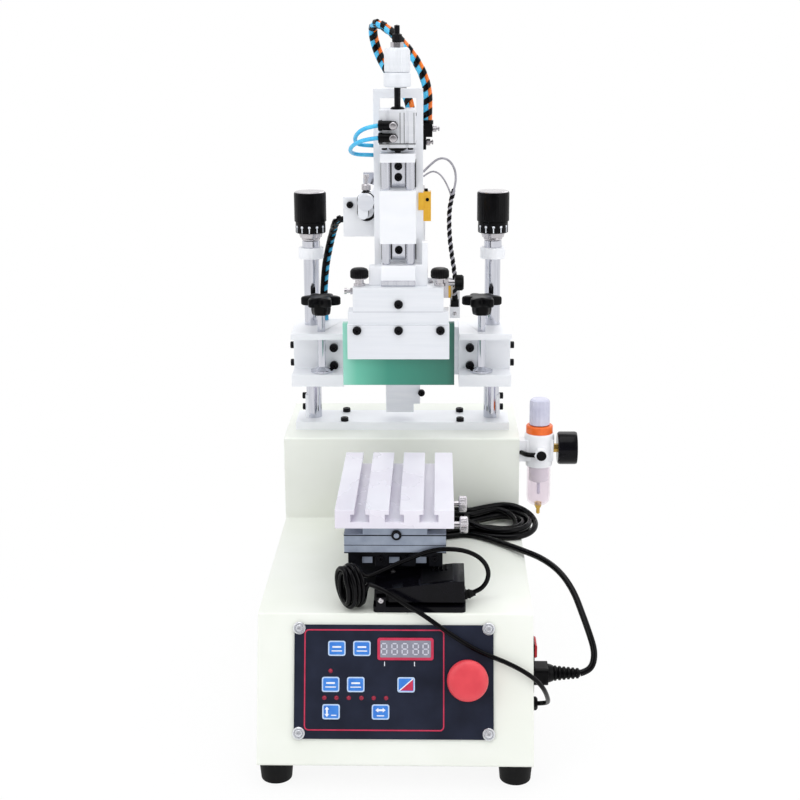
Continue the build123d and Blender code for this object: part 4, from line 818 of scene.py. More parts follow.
# %% Frame, keys and window
LINE_WIDTH = 1.1
FRAME_WIDTH, FRAME_HEIGHT, FRAME_RADIUS = 121.7, 87, 4
FRAME_U, FRAME_V = -18.15, 74.7
LINE_LOW, LINE_HIGH = PLATE - 0.1, PLATE + 0.16
outer = rounded(FRAME_WIDTH, FRAME_HEIGHT, FRAME_RADIUS)
inner = rounded(FRAME_WIDTH - 2 * LINE_WIDTH, FRAME_HEIGHT - 2 * LINE_WIDTH,
                FRAME_RADIUS - LINE_WIDTH)
strips([[vertex(on_face(FRAME_U + x, FRAME_V + y, level)) for x, y in outline]
        for outline, level in ((outer, LINE_LOW), (outer, LINE_HIGH), (inner, LINE_HIGH),
                               (inner, LINE_LOW))], capped=False)
piece("panel_red_frame", [line_red], "machine")

KEYS = [(-50.7, 101.8, "bars"), (-28.9, 101.8, "bars"), (-55.9, 70.8, "bars"),
        (-34.1, 70.8, "bars"), (9.6, 70.8, "split"), (-55.4, 47.4, "up_down"),
        (-12.5, 47.4, "left_right")]
KEY_TOP = PLATE + 0.62
MARK_LOW, MARK_TOP = KEY_TOP - 0.05, KEY_TOP + 0.12


def arrow(u, v, across, along):
    """A double arrow; across and along say which way it points."""
    for way in (-1, 1):
        points = [(0, way * 4.4), (-2, way * 1.9), (-0.8, way * 1.9), (-0.8, 0), (0.8, 0),
                  (0.8, way * 1.9), (2, way * 1.9)]
        plate([(u + a * across + b * along, v + b * across + a * along) for a, b in points],
              MARK_LOW, MARK_TOP, 2)


for u, v, sign in KEYS:
    slab(u, v, 15.2, 13, 2, PLATE - 0.1, PLATE + 0.45, 0)
    slab(u, v, 12.9, 10.7, 1.2, PLATE, KEY_TOP, 1)
    if sign == "bars":
        slab(u, v + 1.2, 7.6, 1.5, 0.3, MARK_LOW, MARK_TOP, 2)
        slab(u, v - 2.2, 9.2, 0.9, 0.2, MARK_LOW, MARK_TOP, 2)
    elif sign == "split":
        plate([(u + x, v + y) for x, y in ((-6, -4.9), (6, -4.9), (6, 4.9))],
              MARK_LOW, KEY_TOP + 0.08, 3)
        plate([(u + x, v + y) for x, y in ((-6, -5.2), (-5.3, -5.2), (6, 4.6), (6, 5.2),
                                           (5.3, 5.2), (-6, -4.6))],
              KEY_TOP, KEY_TOP + 0.16, 2)
    elif sign == "up_down":
        arrow(u - 3.6, v, 1, 0)
        slab(u + 2.4, v - 3, 4.6, 0.9, 0.2, MARK_LOW, MARK_TOP, 2)
    else:
        arrow(u, v + 1.6, 0, 1)
        slab(u, v - 3.2, 6.4, 0.9, 0.2, MARK_LOW, MARK_TOP, 2)

WINDOW = (9, 101.5)
slab(*WINDOW, 48.8, 19.2, 2.2, PLATE - 0.1, PLATE + 0.9, 4)
slab(*WINDOW, 44, 14.6, 0.8, PLATE, PLATE + 1.05, 5)
for u in (-9.6, -0.5, 8.4, 17.9, 26.5):
    for du, dv, long_side in ((0, 4.6, 1), (0, 0, 1), (0, -4.6, 1), (-2.3, 2.3, 0), (2.3, 2.3, 0),
                              (-2.3, -2.3, 0), (2.3, -2.3, 0)):
        width, height = (3.4, 1.1) if long_side else (1.1, 3.4)
        slab(u + du, WINDOW[1] + dv, width, height, 0.45, PLATE + 1, PLATE + 1.15, 6)
for u in (-9.2, 16.8):
    slab(u, 88.6, 0.7, 3.8, 0.2, PLATE - 0.05, PLATE + 0.12, 2)
piece("keys_and_window", [key_edge, key_blue, mark_white, line_red, line_red, window_grey,
                          digit_grey], "machine", stands_for=("panel_keys",))

LAMPS = [(-56, 82.4)] + [(u, 59.3) for u in (-61.3, -50.8, -40.1, -29.1, -18.4, -7.7)]
for u, v in LAMPS:
    turned([(1.9, 0), (1.9, 0.25), (1.45, 0.3), (1.4, 0.8), (0.9, 1.3), (0, 1.5)],
           on_face(u, v, PLATE - 0.05), FACE_OUT, 20)
piece("panel_lamps", [lamp_red], "machine")

for u in (-83.5, 81.1):
    for v in (28.8, 119):
        turned([(5.4, 0), (5.4, 0.5), (4.5, 1.5), (3.5, 1.5), (3.2, 0.9)],
               on_face(u, v, PLATE), FACE_OUT, 36)
        pan_screw(on_face(u, v, PLATE + 0.8), FACE_OUT, 3.1, 1.6)
bright_steel = finish("bright_screw_steel", (238, 239, 243), (222, 224, 230), 9, rough=(0.2, 0.3),
                      metal=0.6, bump=0.04)
piece("panel_screws", [bright_steel], "machine")
print("panel dressed")


# %% Emergency stop
STOP_AT = (62.6, 76)
turned([(9, 6.3), (9, 11.2), (14.6, 11), (17, 11.6), (17.7, 13.4), (17.8, 16.6), (17.4, 19.2),
        (16.2, 21.2), (14, 22.4), (10.5, 22.85), (5.2, 23), (0, 23)], on_face(*STOP_AT), FACE_OUT,
       64)
piece("stop_mushroom", [stop_red], "emergency_stop", angle=50,
      stands_for=("emergency_stop_button",))
turned([(14, 1.9), (14, 5.2), (13.6, 6.1), (9.3, 6.1), (9.3, 2)], on_face(*STOP_AT), FACE_OUT, 48)
piece("stop_collar", [black], "machine")
print("emergency stop done")


# %% [markdown]
# ## Power socket and leads' ends
# On the right side sit a red rocker switch over a power socket, the plug of the lead,
# and a nylon gland where the pedal's cable goes in. The plug's tail is ribbed so that
# it bends with the lead. Ribs are rings of changing radius on one turned shape.

# %% Socket side
red_lens = finish("switch_red", (214, 30, 44), (188, 18, 30), 6, rough=(0.15, 0.25), bump=0.05,
                  seen_through=0.15)
brass = finish("brass", (206, 172, 92), (176, 138, 62), 3, rough=(0.2, 0.35), metal=1)
dress("power_inlet", black, edge=0.8)
dress("power_rocker", red_lens, edge=0.5)
SIDE_X = 120
INLET_Y = -140
box((SIDE_X + 5.45, INLET_Y - 5.6, 98.6), (SIDE_X + 5.62, INLET_Y - 4.9, 104.2))
turned([(2.1, -0.05), (2.1, 0.12), (1.5, 0.12), (1.5, -0.05)],
       (SIDE_X + 5.5, INLET_Y + 5.2, 101.4), RIGHT, 28)
piece("rocker_marks", [mark_white], "rocker")

PLUG = (SIDE_X + 3, INLET_Y, 76)
pushed([(0, x, y) for x, y in rounded(22, 16.5, 4)], PLUG, (13, 0, 0))
turned([(8.6, 12.9), (8.2, 15), (7, 18)], PLUG, RIGHT, 32)
rib_rings = []
for rib in range(6):
    start = 18 + 4 * rib
    radius = 6.9 - 0.42 * rib
    rib_rings += [(radius - 1.3, start), (radius, start + 0.6), (radius, start + 2.6),
                  (radius - 1.3, start + 3.2)]
turned(rib_rings + [(3.4, 42)], PLUG, RIGHT, 32)
piece("socket_plug", [black], "machine", edge=0.5, stands_for=("iec_plug",))

turned([(6.4, -0.2), (6.4, 3), (5.9, 3)], (SIDE_X, -160, 56), RIGHT, 36)
turned([(6.2, 2.9, hexagon), (6.2, 4.6, hexagon), (4.6, 5.9), (2.6, 6)], (SIDE_X, -160, 56),
       RIGHT, 36)
piece("nylon_gland", [black], "machine", edge=0.3, stands_for=("cable_gland",))

dress("mains_plug", black, edge=0.6)
for y in (33.1, 52.1):
    turned([(2.3, 0), (2.3, 15), (1.6, 17.5), (0, 18)], (-41.5, y, DECK + 11), LEFT, 20)
plug_pins = piece("mains_plug_pins", [brass], "machine")

tie = [(TIE_X, 36.4 + 16.6 * cos(2 * pi * k / 40), DECK + 8.8 + 8.6 * sin(2 * pi * k / 40))
       for k in range(40)]
pushed(tie, (-2.6, 0, 0), (5.2, 0, 0))
hank_tie = piece("hank_tie", [black], "machine", edge=0.6)
print("socket side done")


# %% [markdown]
# ## Columns, height knobs and clamps
# Two ground steel columns carry the crosshead. Their tops have a scale ring and a tall
# black knob with white marks for reading the height. The clamps are milled aluminium
# with black socket screws, and their star knobs turn a steel spindle with a swivel pad.

# %% Metals
aluminium = finish("milled_aluminium", (240, 241, 245), (228, 230, 236), 30, stretch=(1, 1, 7),
                   rough=(0.36, 0.46), metal=0.35, bump=0.1, bump_mm=1)
white_alu = finish("bright_anodised", (246, 247, 250), (239, 241, 245), 40, stretch=(1, 1, 3),
                   rough=(0.4, 0.5), metal=0.15, bump=0.06, bump_mm=1)
satin = finish("satin_plate", (234, 236, 240), (225, 228, 233), 24, stretch=(0.3, 1, 6),
               rough=(0.4, 0.5), metal=0.15, bump=0.1, bump_mm=0.9)
dress("column_plate", white_alu, edge=0.6)
dress("columns", steel)
dress("column_collars", white_alu, edge=0.7)
for side in ("left", "right"):
    dress(f"frame_clamp_{side}", white_alu, edge=0.5)
    dress(f"clamp_spindle_{side}", steel)
dress("cross_beam", aluminium, edge=0.5)
COLUMN_X, COLUMN_Y = 92.8, 130.8
print("metals on")


# %% Height knobs
KNOB_LOW = 427.5
MARKS = 12
ribbing = teeth(40, 0.012)
for side, name in ((-1, "left"), (1, "right")):
    centre = (side * COLUMN_X, COLUMN_Y, KNOB_LOW)
    turned([(7, 0), (8.8, 0.3), (9.6, 1.6), (9.4, 2.6), (11, 3.2), (12.2, 7.4), (12.2, 8.2)],
           centre, sides=48, skin=1)
    turned([(12, 7.6), (14.8, 8), (15.2, 8.5), (15.2, 19), (14.2, 19.4)], centre, sides=72)
    turned([(15, 19), (16.3, 19.8, ribbing), (16.3, 47.6, ribbing), (15.8, 48.8), (15.2, 49)],
           centre, sides=160)
    turned([(15.4, 48.5), (15.4, 49.4), (14.8, 49.8), (0, 49.8)], centre, sides=64, skin=1)
    for number in range(MARKS):
        angle = 2 * pi * number / MARKS
        out = Vector((cos(angle), sin(angle), 0))
        place = Vector(centre) + out * 15.1 + Vector((0, 0, 14.6))
        turned([(1.35, 0), (1.35, 0.22), (0, 0.22)], place, out, 14, 2)
        across = Vector((-out.y, out.x, 0))
        corners = [across * 0.5, across * 0.5 + Vector((0, 0, 5.2)),
                   across * -0.5 + Vector((0, 0, 5.2)), across * -0.5]
        pushed(corners, Vector(centre) + out * 15.05 + Vector((0, 0, 8.8)), out * 0.27, 2)
    piece(f"height_knob_{name}_turned", [black, screw_steel, mark_white], f"height_knob_{name}",
          stands_for=(f"height_knob_{name}",))
print("height knobs done")


# %% Star knobs
def star(angle):
    """Six rounded lobes."""
    return 0.82 + 0.18 * cos(6 * angle)


HUB_Z = 357.6
flute = teeth(6, 0.1)
for side, name in ((-1, "left"), (1, "right")):
    centre = (side * 81, 95, HUB_Z)
    turned([(4.4, 0), (8.6, 0, flute), (9.2, 0.6, flute), (10, 4.6, flute), (10, 10.5, flute)],
           centre, sides=72)
    turned([(11, 9.6, star), (18.8, 9.9, star), (20, 11, star), (20, 16.6, star), (19.2, 18, star),
            (17, 18.8, star), (11, 19), (10.2, 18.6), (0, 18.6)], centre, sides=120)
    turned([(4.6, -0.6), (4.6, 1.5)], centre, sides=32, skin=1)
    piece(f"star_knob_{name}_moulded", [black, steel], f"clamp_{name}",
          angle=40, stands_for=(f"star_knob_{name}",))
print("star knobs done")


# %% Screws of the columns, clamps and beam
for side in (-1, 1):
    for z in (320, 301.5):
        socket_screw((side * 69.7, 110, z), FRONT, 4.4, 4.6)
        socket_screw((side * 111, 122, z), (side, 0, 0), 3.6, 4.4)
socket_screw((20, 114.9, 271), FRONT, 3.6, 4)
socket_screw((-15.5, 114.9, 283.5), FRONT, 3.2, 3.2)
piece("crosshead_screws", [black_oxide], "crosshead")
for side in (-1, 1):
    for z in (262, 250):
        socket_screw((side * 101.5, 137, z), (side, 0, 0), 3.4, 4)
    for y in (112, 149):
        socket_screw((side * 60, y, 241.2), UP, 4, 4)
piece("column_screws", [black_oxide], "machine")
print("screws in")


# %% [markdown]
# ## Stroke guide and print head
# The head slides forward on two rods behind it, pushed by a small air cylinder at the
# left. On the head, a second cylinder lowers the squeegee on two guide rods, and a
# knurled nut on its rod sets how far down it may go. Everything here is bright metal;
# black screws, seals and fittings give it its contrast.

# %% Bright plates
for name in ("slide_housing", "head_plate", "top_plate", "lower_block"):
    dress(name, white_alu, edge=0.4)
dress("bearing_cover", white_alu, edge=0.3)
dress("lift_cylinder", aluminium, edge=0.4)
dress("stroke_cylinder", aluminium)
dress("stroke_rods", steel, edge=0.4)
HEAD_X, HEAD_Y = -1.2, 43
HEAD = (HEAD_X, HEAD_Y, 0)

for side in (-1, 1):
    x = HEAD_X + side * 11.6
    turned([(3.4, 417.3), (4.2, 418.1), (4.2, 515), (3.4, 515.8)], (x, HEAD_Y, 0), sides=40)
turned([(2.4, 523.8), (3, 524.6), (3, 618), (2.6, 618.4), (2.6, 640.6), (0, 641.4)],
       HEAD, sides=28, skin=1)
piece("guide_rods_ground", [steel, black_oxide], "squeegee", stands_for=("guide_rods",))

box((HEAD_X - 6.5, 60.5, 489.2), (HEAD_X + 6.5, 65.1, 516))
box((HEAD_X - 6.5, 60.5, 419), (HEAD_X + 6.5, 65.1, 438.6))
piece("head_rail", [steel], "carriage", edge=0.5)
box((HEAD_X - 16.6, 32.2, 397.6), (HEAD_X + 16.6, 33.2, 403.2))
piece("lower_block_strip", [steel], "squeegee", edge=0.4)
for z in (509.5, 499, 428.5):
    socket_screw((HEAD_X, 60.6, z), FRONT, 3.9, 3.4)
piece("head_screws", [black_oxide], "carriage")
print("plates and rods done")


# %% The lift cylinder's caps and seals, and painted shade by the rods and the port
box((HEAD_X - 17.2, 31.6, 532.6), (HEAD_X + 17.2, 64.8, 533.4))
for x in (2.4, 6.2, 15.4):
    box((HEAD_X + x, 31.8, 533.6), (HEAD_X + x + 0.5, 32.6, 561.8))
# Dark strips on the head plate beside the guide rods are painted shade: they stand for the shadow
# gaps there, and go into the seals' piece.
for low, high in ((489.2, 516), (419, 438.6)):
    for x in (-16.9, -7.7, 6.7, 16.1):
        box((HEAD_X + x, 61.4, low), (HEAD_X + x + 0.9, 64.9, high))
turned([(6.6, 564.2), (6.6, 565.2), (5.2, 566.6), (3.3, 566.9)], HEAD, sides=32)
turned([(3.4, 525.4), (6, 525.8), (8.6, 527.6), (8.6, 529.4)], HEAD, sides=32)
for x in (-13.5, 11.1):
    turned([(2.2, 527.2), (2.6, 527.6), (2.6, 529.4)], (x, 36.5, 0), sides=20)
piece("lift_cylinder_seals_and_painted_shade", [black], "carriage")
turned([(8.9, 0), (8.9, 1), (8, 1.4)], (-33.5, 85, 473), FRONT, 40)
turned([(6.6, 0), (7.4, 0.1), (7.4, 1.2), (6.6, 1.4)], (-33.5, 76.5, 473), FRONT, 40)
piece("stroke_cylinder_seals", [black], "crosshead")


ARC_STEPS = 8


def upright(x, y, z, half_width, half_height):
    """The outline of an upright slot, round at both ends."""
    straight = half_height - half_width
    outline = []
    for end, start in ((1, 0), (-1, pi)):
        for step in range(ARC_STEPS + 1):
            angle = start + pi * step / ARC_STEPS
            outline.append((x + half_width * cos(angle), y,
                            z + end * straight + half_width * sin(angle)))
    return outline


turned([(9.3, 0), (9.3, 1.4), (8.7, 1.9)], (-33.4, 85, 462.6), FRONT, 48, 1)
turned([(7.4, 1.7), (7.4, 2.8), (6.9, 3.2), (0, 3.2)], (-33.4, 85, 463.7), FRONT, 48)
# A black capsule, a little larger, behind the white one: painted shade, a dark outline at the
# port's sides for the shadow gaps there.
pushed(upright(-36.2, 75.2, 469.4, 5.8, 12.6), NOWHERE, (0, -1.5, 0), 1)
pushed(upright(-36.2, 73.8, 469.4, 5, 12.9), NOWHERE, (0, -3, 0))
piece("stroke_cylinder_port_and_painted_shade", [white_alu, black], "crosshead", edge=0.5)
socket_screw((-49.6, 85, 469.5), FRONT, 3.4, 3.6)
for x in (-16, 16):
    for y in (120, 144):
        socket_screw((x, y, 486), UP, 3.4, 3.4)
piece("housing_screws", [black_oxide], "crosshead")
turned([(4.6, 0, hexagon), (4.6, 3.6, hexagon), (3.4, 4.2), (3.4, 5)], (-34, 97, 477),
       sides=36, skin=1)
turned([(3.2, 4.8), (4.6, 5.6, teeth(20, 0.06)), (4.6, 10.4, teeth(20, 0.06)), (3.6, 11.4),
        (1.6, 11.8), (1.6, 17), (2.8, 17.2), (2.8, 20.4), (0, 21)], (-34, 97, 477), sides=40)
piece("flow_control", [screw_steel, black], "crosshead")
for x in (-33.5, -11, 11):
    z = 473 if x < -20 else 465
    turned([(4.6, 0, hexagon), (4.6, 3.6, hexagon), (0, 3.8)], (x, 239.8 - 3.8, z), BACK, 36)
piece("rear_plate_nuts", [screw_steel], "carriage")
print("cylinders done")


# %% Elbows, union and valve block
thumb = teeth(18, 0.07)
for z in (550.5, 539):
    turned([(4.2, 0, hexagon), (4.2, 2.2, hexagon), (3.9, 2.3), (3.9, 9), (3.3, 9.8)],
           (-4.7, 32, z), FRONT, 30)
    turned([(3.9, 0), (4.4, 0.8), (4.4, 9.4), (5, 9.6), (5, 12.4), (4.4, 13.4), (2.2, 13.5)],
           (-5.5, 27, z), LEFT, 30)
    turned([(2.4, 0), (3.6, 0.5, thumb), (3.6, 3.6, thumb), (2.8, 4.4), (0, 4.6)], (-4.7, 22.6, z),
           FRONT, 36, 1)
box((-25, 71, 512), (-10, 85, 534))
box((4, 71, 527), (18, 88, 556))
box((17.9, 71, 536), (31.5, 88, 549))
box((17.9, 71, 524), (25.5, 88, 536.1))
turned([(5.6, 547.5), (5.6, 551), (4.9, 551.6)], (26.8, 81, 0), sides=30)
turned([(5.6, 554.5), (5.6, 558), (4.9, 558.6)], (11, 81, 0), sides=30)
for z, start in ((530.5, 25.5), (543.5, 31.5)):
    turned([(2, 0), (3.2, 0.4, thumb), (3.2, 3.8, thumb), (1.4, 4.2), (1.4, 5.2), (2.4, 5.4),
            (2.4, 6.8), (0, 7)], (start, 79.5, z), RIGHT, 36, 1)
piece("air_fittings_moulded", [black, screw_steel], "carriage", edge=0.35,
      stands_for=("air_fittings",))
print("fittings done")


# %% Sensors
amber = finish("sensor_amber", (248, 196, 52), (236, 176, 30), 8, rough=(0.3, 0.4), bump=0.1,
               seen_through=0.1)
sensor_white = finish("sensor_white", (238, 238, 240), (224, 225, 229), 10)
box((18, 71, 463), (30.1, 82, 483.5))
box((20, 71, 455), (30.1, 80, 463.1))
box((17.9, 63.4, 466.8), (22.9, 65.2, 483.5))
socket_screw((25.3, 76.5, 483.5), UP, 1.9, 2.6, 1)
turned([(1.7, 0), (1.7, 0.9), (0, 1)], (26.6, 71.1, 476), FRONT, 20, 1)
box((22.65, 68, 391.4), (58.5, 71, 399.4), 2)
box((49, 68, 361.7), (58.5, 71, 391.5), 2)
box((48.5, 56, 361.7), (58.5, 68.1, 372.6), 2)
box((49.6, 57.4, 372.5), (57.4, 66.4, 378.4), 1)
turned([(2.9, 0), (2.9, 3.6), (2.4, 4.4), (1.8, 4.6)], (53.6, 62.2, 378.3), UP, 24, 1)
pan_screw((53.4, 56.1, 366.4), FRONT, 2, 1, 3)
pan_screw((30, 68.1, 395.4), FRONT, 2.2, 1.2, 3)
piece("sensors_moulded", [amber, black, sensor_white, screw_steel], "carriage",
      edge=0.4, stands_for=("sensors",))
box((45, 62.5, 380.5), (49.6, 66, 393))
piece("sensor_flag", [amber], "carriage", edge=0.6)
print("sensors done")


# %% Stop knob
turned([(3.3, 584.8), (11.6, 584.8), (12.8, 586), (12.8, 596.4), (11.8, 598)], HEAD, sides=48)
grip = teeth(30, 0.02)
turned([(10.4, 597.8), (12.2, 599.2, grip), (12.2, 617.6, grip), (10.8, 620.2), (9, 620.8),
        (8.6, 620), (4.4, 620), (3.3, 619.6)], HEAD, sides=150)
piece("stop_knob_knurled", [satin], "stop_knob", stands_for=("stop_knob",))
turned([(3, 620.9), (6.2, 621, hexagon), (6.2, 625.4, hexagon), (3, 625.8)], HEAD, sides=36)
turned([(3, 625.7), (4.6, 626, teeth(16, 0.1)), (4.6, 632.5, teeth(16, 0.1)), (3, 633.4)],
       HEAD, sides=48, skin=1)
piece("lift_rod_nuts", [screw_steel, black_oxide], "squeegee")
print("stop knob done")


# %% [markdown]
# ## Squeegee
# The blade is cast polyurethane, a green that lets some light in: pale at the left and
# deeper at the right in this light. A soft ramp along the blade paints that light and
# shade into its colour, from the pale green to the deep one.
# Black knobs on top clamp its holder, and one at the side sets the angle.

# %% Squeegee finish and blade
green = finish("squeegee_green", (94, 190, 164), (60, 162, 138), 40, rough=(0.25, 0.36), bump=0.08,
               bump_mm=2, coat=0.2, seen_through=0.12)
tree = green.node_tree
mottled = next(n for n in tree.nodes if n.type == "VALTORGB")
# A ramp along the blade's length paints light and shade: pale green at the lit left end, deep green
# at the shaded right.
place = node(tree, "TexCoord")
along = node(tree, "SeparateXYZ", {0: place.outputs["Object"]})
span = node(tree, "MapRange", {"From Min": -0.055, "From Max": 0.053, "Value": along.outputs["X"]})
lit_to_shaded_greens = node(tree, "ValToRGB", {"Fac": span.outputs["Result"]})
tones = lit_to_shaded_greens.color_ramp.elements
tones[0].color = paint(176, 240, 222)
tones[1].color = paint(28, 92, 80)
for share, colour in ((0.12, (120, 212, 186)), (0.4, (64, 160, 138)), (0.93, (46, 126, 108))):
    tones.new(share).color = paint(*colour)
both = node(tree, "Mix", data_type="RGBA", blend_type="MULTIPLY")
join(tree, both, {"Factor": 0.25, "A": lit_to_shaded_greens.outputs["Color"], "B": mottled.outputs["Color"]})
join(tree, tree.nodes["Principled BSDF"], {"Base Color": both.outputs["Result"]})
dress("squeegee_blade", green, edge=0.5)
dress("squeegee_bar", satin, edge=0.4)
socket_screw((-0.9, 25, 381.6), FRONT, 4.3, 3)
for x in (-40.9, -0.9, 39.3):
    socket_screw((x, 23, 356.5), FRONT, 4.3, 3)
piece("squeegee_screws", [black_oxide], "squeegee")
seam = finish("seam_grey", (176, 178, 186), (160, 162, 170), 4)
box((HEAD_X - 43.4, 24.9, 373.9), (HEAD_X + 43.4, 25.05, 374.3))
box((HEAD_X - 48.2, 22.9, 361.6), (HEAD_X + 48.2, 23.1, 361.95))
piece("squeegee_seams", [seam], "squeegee")
print("squeegee dressed")


# %% Thumb knobs
BAR_TOP = 397.3
ribs = teeth(28, 0.05)
for x in (-38.8, 38.8):
    centre = (x, HEAD_Y - 4, BAR_TOP)
    turned([(5.6, -0.1), (5.6, 2.2), (4.2, 2.4), (4.2, 6), (7.2, 6.6), (7.2, 7.8)], centre,
           sides=32, skin=1)
    turned([(6, 7.4), (8.4, 7.8, ribs), (8.9, 9, ribs), (8.9, 14, ribs), (7.6, 16.2), (5.4, 17.2),
            (0, 17.4)], centre, sides=112)
end = HEAD_X + 43.5
box((end, HEAD_Y - 5, BAR_TOP - 12), (end + 4.7, HEAD_Y + 5, BAR_TOP + 8), 1)
turned([(3, 0), (3, 6.2)], (end + 4.6, HEAD_Y, BAR_TOP + 2), RIGHT, 24, 1)
turned([(4, 10.7), (7.2, 11, ribs), (7.6, 12, ribs), (7.6, 18, ribs), (6.2, 19.5), (0, 19.7)],
       (end, HEAD_Y, BAR_TOP + 2), RIGHT, 112)
piece("thumb_knobs_moulded", [black, screw_steel], "squeegee", edge=0,
      stands_for=("thumb_knobs",))
turned([(3.4, 0, hexagon), (3.4, 3, hexagon), (2, 3.2), (2, 6.5), (3, 6.6), (3, 8.8), (0, 9)],
       (-44.7, HEAD_Y - 3, BAR_TOP - 5.5), LEFT, 36)
piece("bar_end_screw", [screw_steel], "squeegee")
print("thumb knobs done")


# %% [markdown]
# ## Table and stage
# The table is an extruded aluminium plate with three T-slots, brushed along its length.
# It stands on a grey-blue casting and a black base, with a dovetail gap between them.

# %% Table
brushed = finish("brushed_table", (246, 246, 251), (214, 207, 222), 80, stretch=(1.2, 0.7, 1),
                 rough=(0.22, 0.34), metal=0.1, bump=0.02, bump_mm=1.5, contrast=0.7)
stage_grey = finish("stage_grey_blue", (168, 178, 194), (138, 148, 166), 12, rough=(0.35, 0.5),
                    metal=0.2, bump=0.3, bump_mm=1)
stage_black = finish("stage_black", (26, 27, 33), (10, 10, 14), 7, rough=(0.35, 0.55), metal=0.2,
                     bump=0.3, shine=0.15)
dress("t_slot_table", brushed, edge=0.35)
dress("stage_top", stage_grey, edge=0.4)
dress("stage_base", stage_black, edge=0.5)
TABLE_X = -0.8
box((TABLE_X - 45.2, -140.3, 206.6), (TABLE_X + 45.2, 10.2, 207.5))
box((TABLE_X - 28.7, -140.2, 217.2), (TABLE_X + 28.7, 10.2, 218.3))
box((TABLE_X - 45.1, -140.2, 190.4), (TABLE_X + 45.1, 10.1, 191.2))
box((TABLE_X - 45.1, -140.15, 197.6), (TABLE_X + 45.1, 10.1, 198.1))
socket_screw((0.5, -139.9, 207.6), FRONT, 4.6, 2.6)
for x in (-25, -1, 23):
    socket_screw((TABLE_X + x + 12, -135, 184), FRONT, 2.6, 2)
piece("stage_seams_and_screws", [black_oxide], "machine")
turned([(2.4, 0), (2.4, 0.5), (1.8, 0.7), (0, 0.7)], (0.5, -142.4, 207.6), FRONT, 24)
for x in (-25, -1, 23):
    box((TABLE_X + x - 4.6, -133, 178.4), (TABLE_X + x + 4.6, -129.5, 186.2))
piece("stage_bolts_and_blocks", [stage_grey], "machine", edge=0.4)
knurl = teeth(30, 0.06)
for y in (-128.5, -71.5):
    centre = (56.05, y, 213.1)
    turned([(3, -28.3), (3, 0.2)], centre, RIGHT, 24)
    turned([(4.2, 0), (6.9, 0.4), (7.5, 1.2, knurl), (7.5, 6.4, knurl), (6.6, 7.5), (4, 8),
            (3.6, 7.4), (0, 7.4)], centre, RIGHT, 120)
piece("stage_knobs_knurled", [screw_steel], "machine", stands_for=("table_knobs",))
print("table done")


# %% [markdown]
# ## Foot pedal
# The pedal lies on the deck before the table, its tread hinged at the left and rising
# to the right. Its gloss and its round corners make it read as moulded plastic. A grained pad
# and short ribs give the foot some grip, and the hinge pin's bright end shows in front.

# %% Pedal
gloss_black = finish("pedal_black", (14, 13, 19), (5, 5, 7), 12, rough=(0.12, 0.22), bump=0.2,
                     bump_mm=0.5, shine=0.13)
grained = finish("tread_grain", (18, 18, 22), (6, 6, 8), 2, rough=(0.4, 0.6), bump=1, bump_mm=0.7,
                 shine=0.13)
dress("pedal_base", gloss_black, edge=0.9)
dress("pedal_treadle", gloss_black, edge=1.6)
TREAD_LEFT = Vector((-18.5, 0, DECK + 19))
TREAD_SLOPE = Vector((69.9, 0, 8.5)).normalized()
TREAD_UP = Vector((-8.5, 0, 69.9)).normalized()


def on_tread(x, y):
    """A point on the sloping top of the tread."""
    return TREAD_LEFT + TREAD_SLOPE * ((x + 18.5) / TREAD_SLOPE.x) + Vector((0, y, 0))


def tread_pad(x, y, high, skin=0):
    """A raised patch of the tread between two limits of x and of y."""
    corners = [on_tread(x[0], y[0]), on_tread(x[1], y[0]), on_tread(x[1], y[1]),
               on_tread(x[0], y[1])]
    pushed(corners, (0, 0, -0.1), TREAD_UP * high, skin)


tread_pad((22, 50.5), (-161, -122.5), 0.6, 1)
for x in (32, 35.9, 39.8, 43.7):
    tread_pad((x, x + 2), (-137.5, -124), 1.7)
piece("tread_ribs", [gloss_black, grained], "treadle", edge=0.35)
pan_screw(on_tread(-3, -124.5), TREAD_UP, 2.4, 1.2)
piece("tread_screw", [screw_steel], "treadle")
pan_screw((-12.6, -168.9, 157.3), FRONT, 2.5, 1.2)
pan_screw((-12.6, -119.1, 157.3), BACK, 2.5, 1.2)
piece("hinge_pin_ends", [screw_steel], "machine")
turned([(4.6, -0.6), (4.6, 1), (3.9, 1.6), (3.9, 2.6), (4.2, 3), (4.2, 4.2), (3.4, 4.8), (3.4, 5.8),
        (2.9, 6.4), (2.3, 9)], (61.4, -143, 153), (1, 0, 0.16), 28)
piece("pedal_cable_sleeve", [rubber], "machine")
print("pedal done")


# %% [markdown]
# ## Air filter and regulator
# The filter hangs on the cabinet's right side: a grey ribbed knob, an orange lock ring,
# a white body, and a clear bowl in which a white cone and the brass drain show. The
# pressure gauge faces to the right. Its dial carries plain ticks only.

# %% Filter finishes
white_plastic = finish("white_plastic", (246, 246, 248), (234, 235, 239), 12, rough=(0.3, 0.42),
                       bump=0.1)
lavender = finish("knob_lavender", (212, 212, 228), (192, 192, 212), 10, rough=(0.3, 0.4),
                  bump=0.08)
orange_ring = finish("ring_orange", (246, 116, 40), (230, 96, 24), 6, rough=(0.28, 0.38), bump=0.08)
clear = finish("clear_bowl", (236, 226, 233), (222, 211, 220), 14, rough=(0.06, 0.12), bump=0.02)
glass = finish("gauge_glass", (250, 250, 252), (244, 245, 248), 10, rough=(0.02, 0.05), bump=0)
for see_through, solid_share in ((clear, 0.16), (glass, 0.12)):
    # Most rays pass straight on, so light reaches what is behind the plastic.
    tree = see_through.node_tree
    passing = node(tree, "BsdfTransparent", {"Color": paint(253, 250, 252)})
    blend = node(tree, "MixShader", {0: solid_share, 1: passing.outputs[0],
                                     2: tree.nodes["Principled BSDF"].outputs[0]})
    join(tree, tree.nodes["Material Output"], {"Surface": blend.outputs[0]})
AIR_X, AIR_Y = 140.5, 85
AIR = (AIR_X, AIR_Y, 0)
print("filter finishes ready")


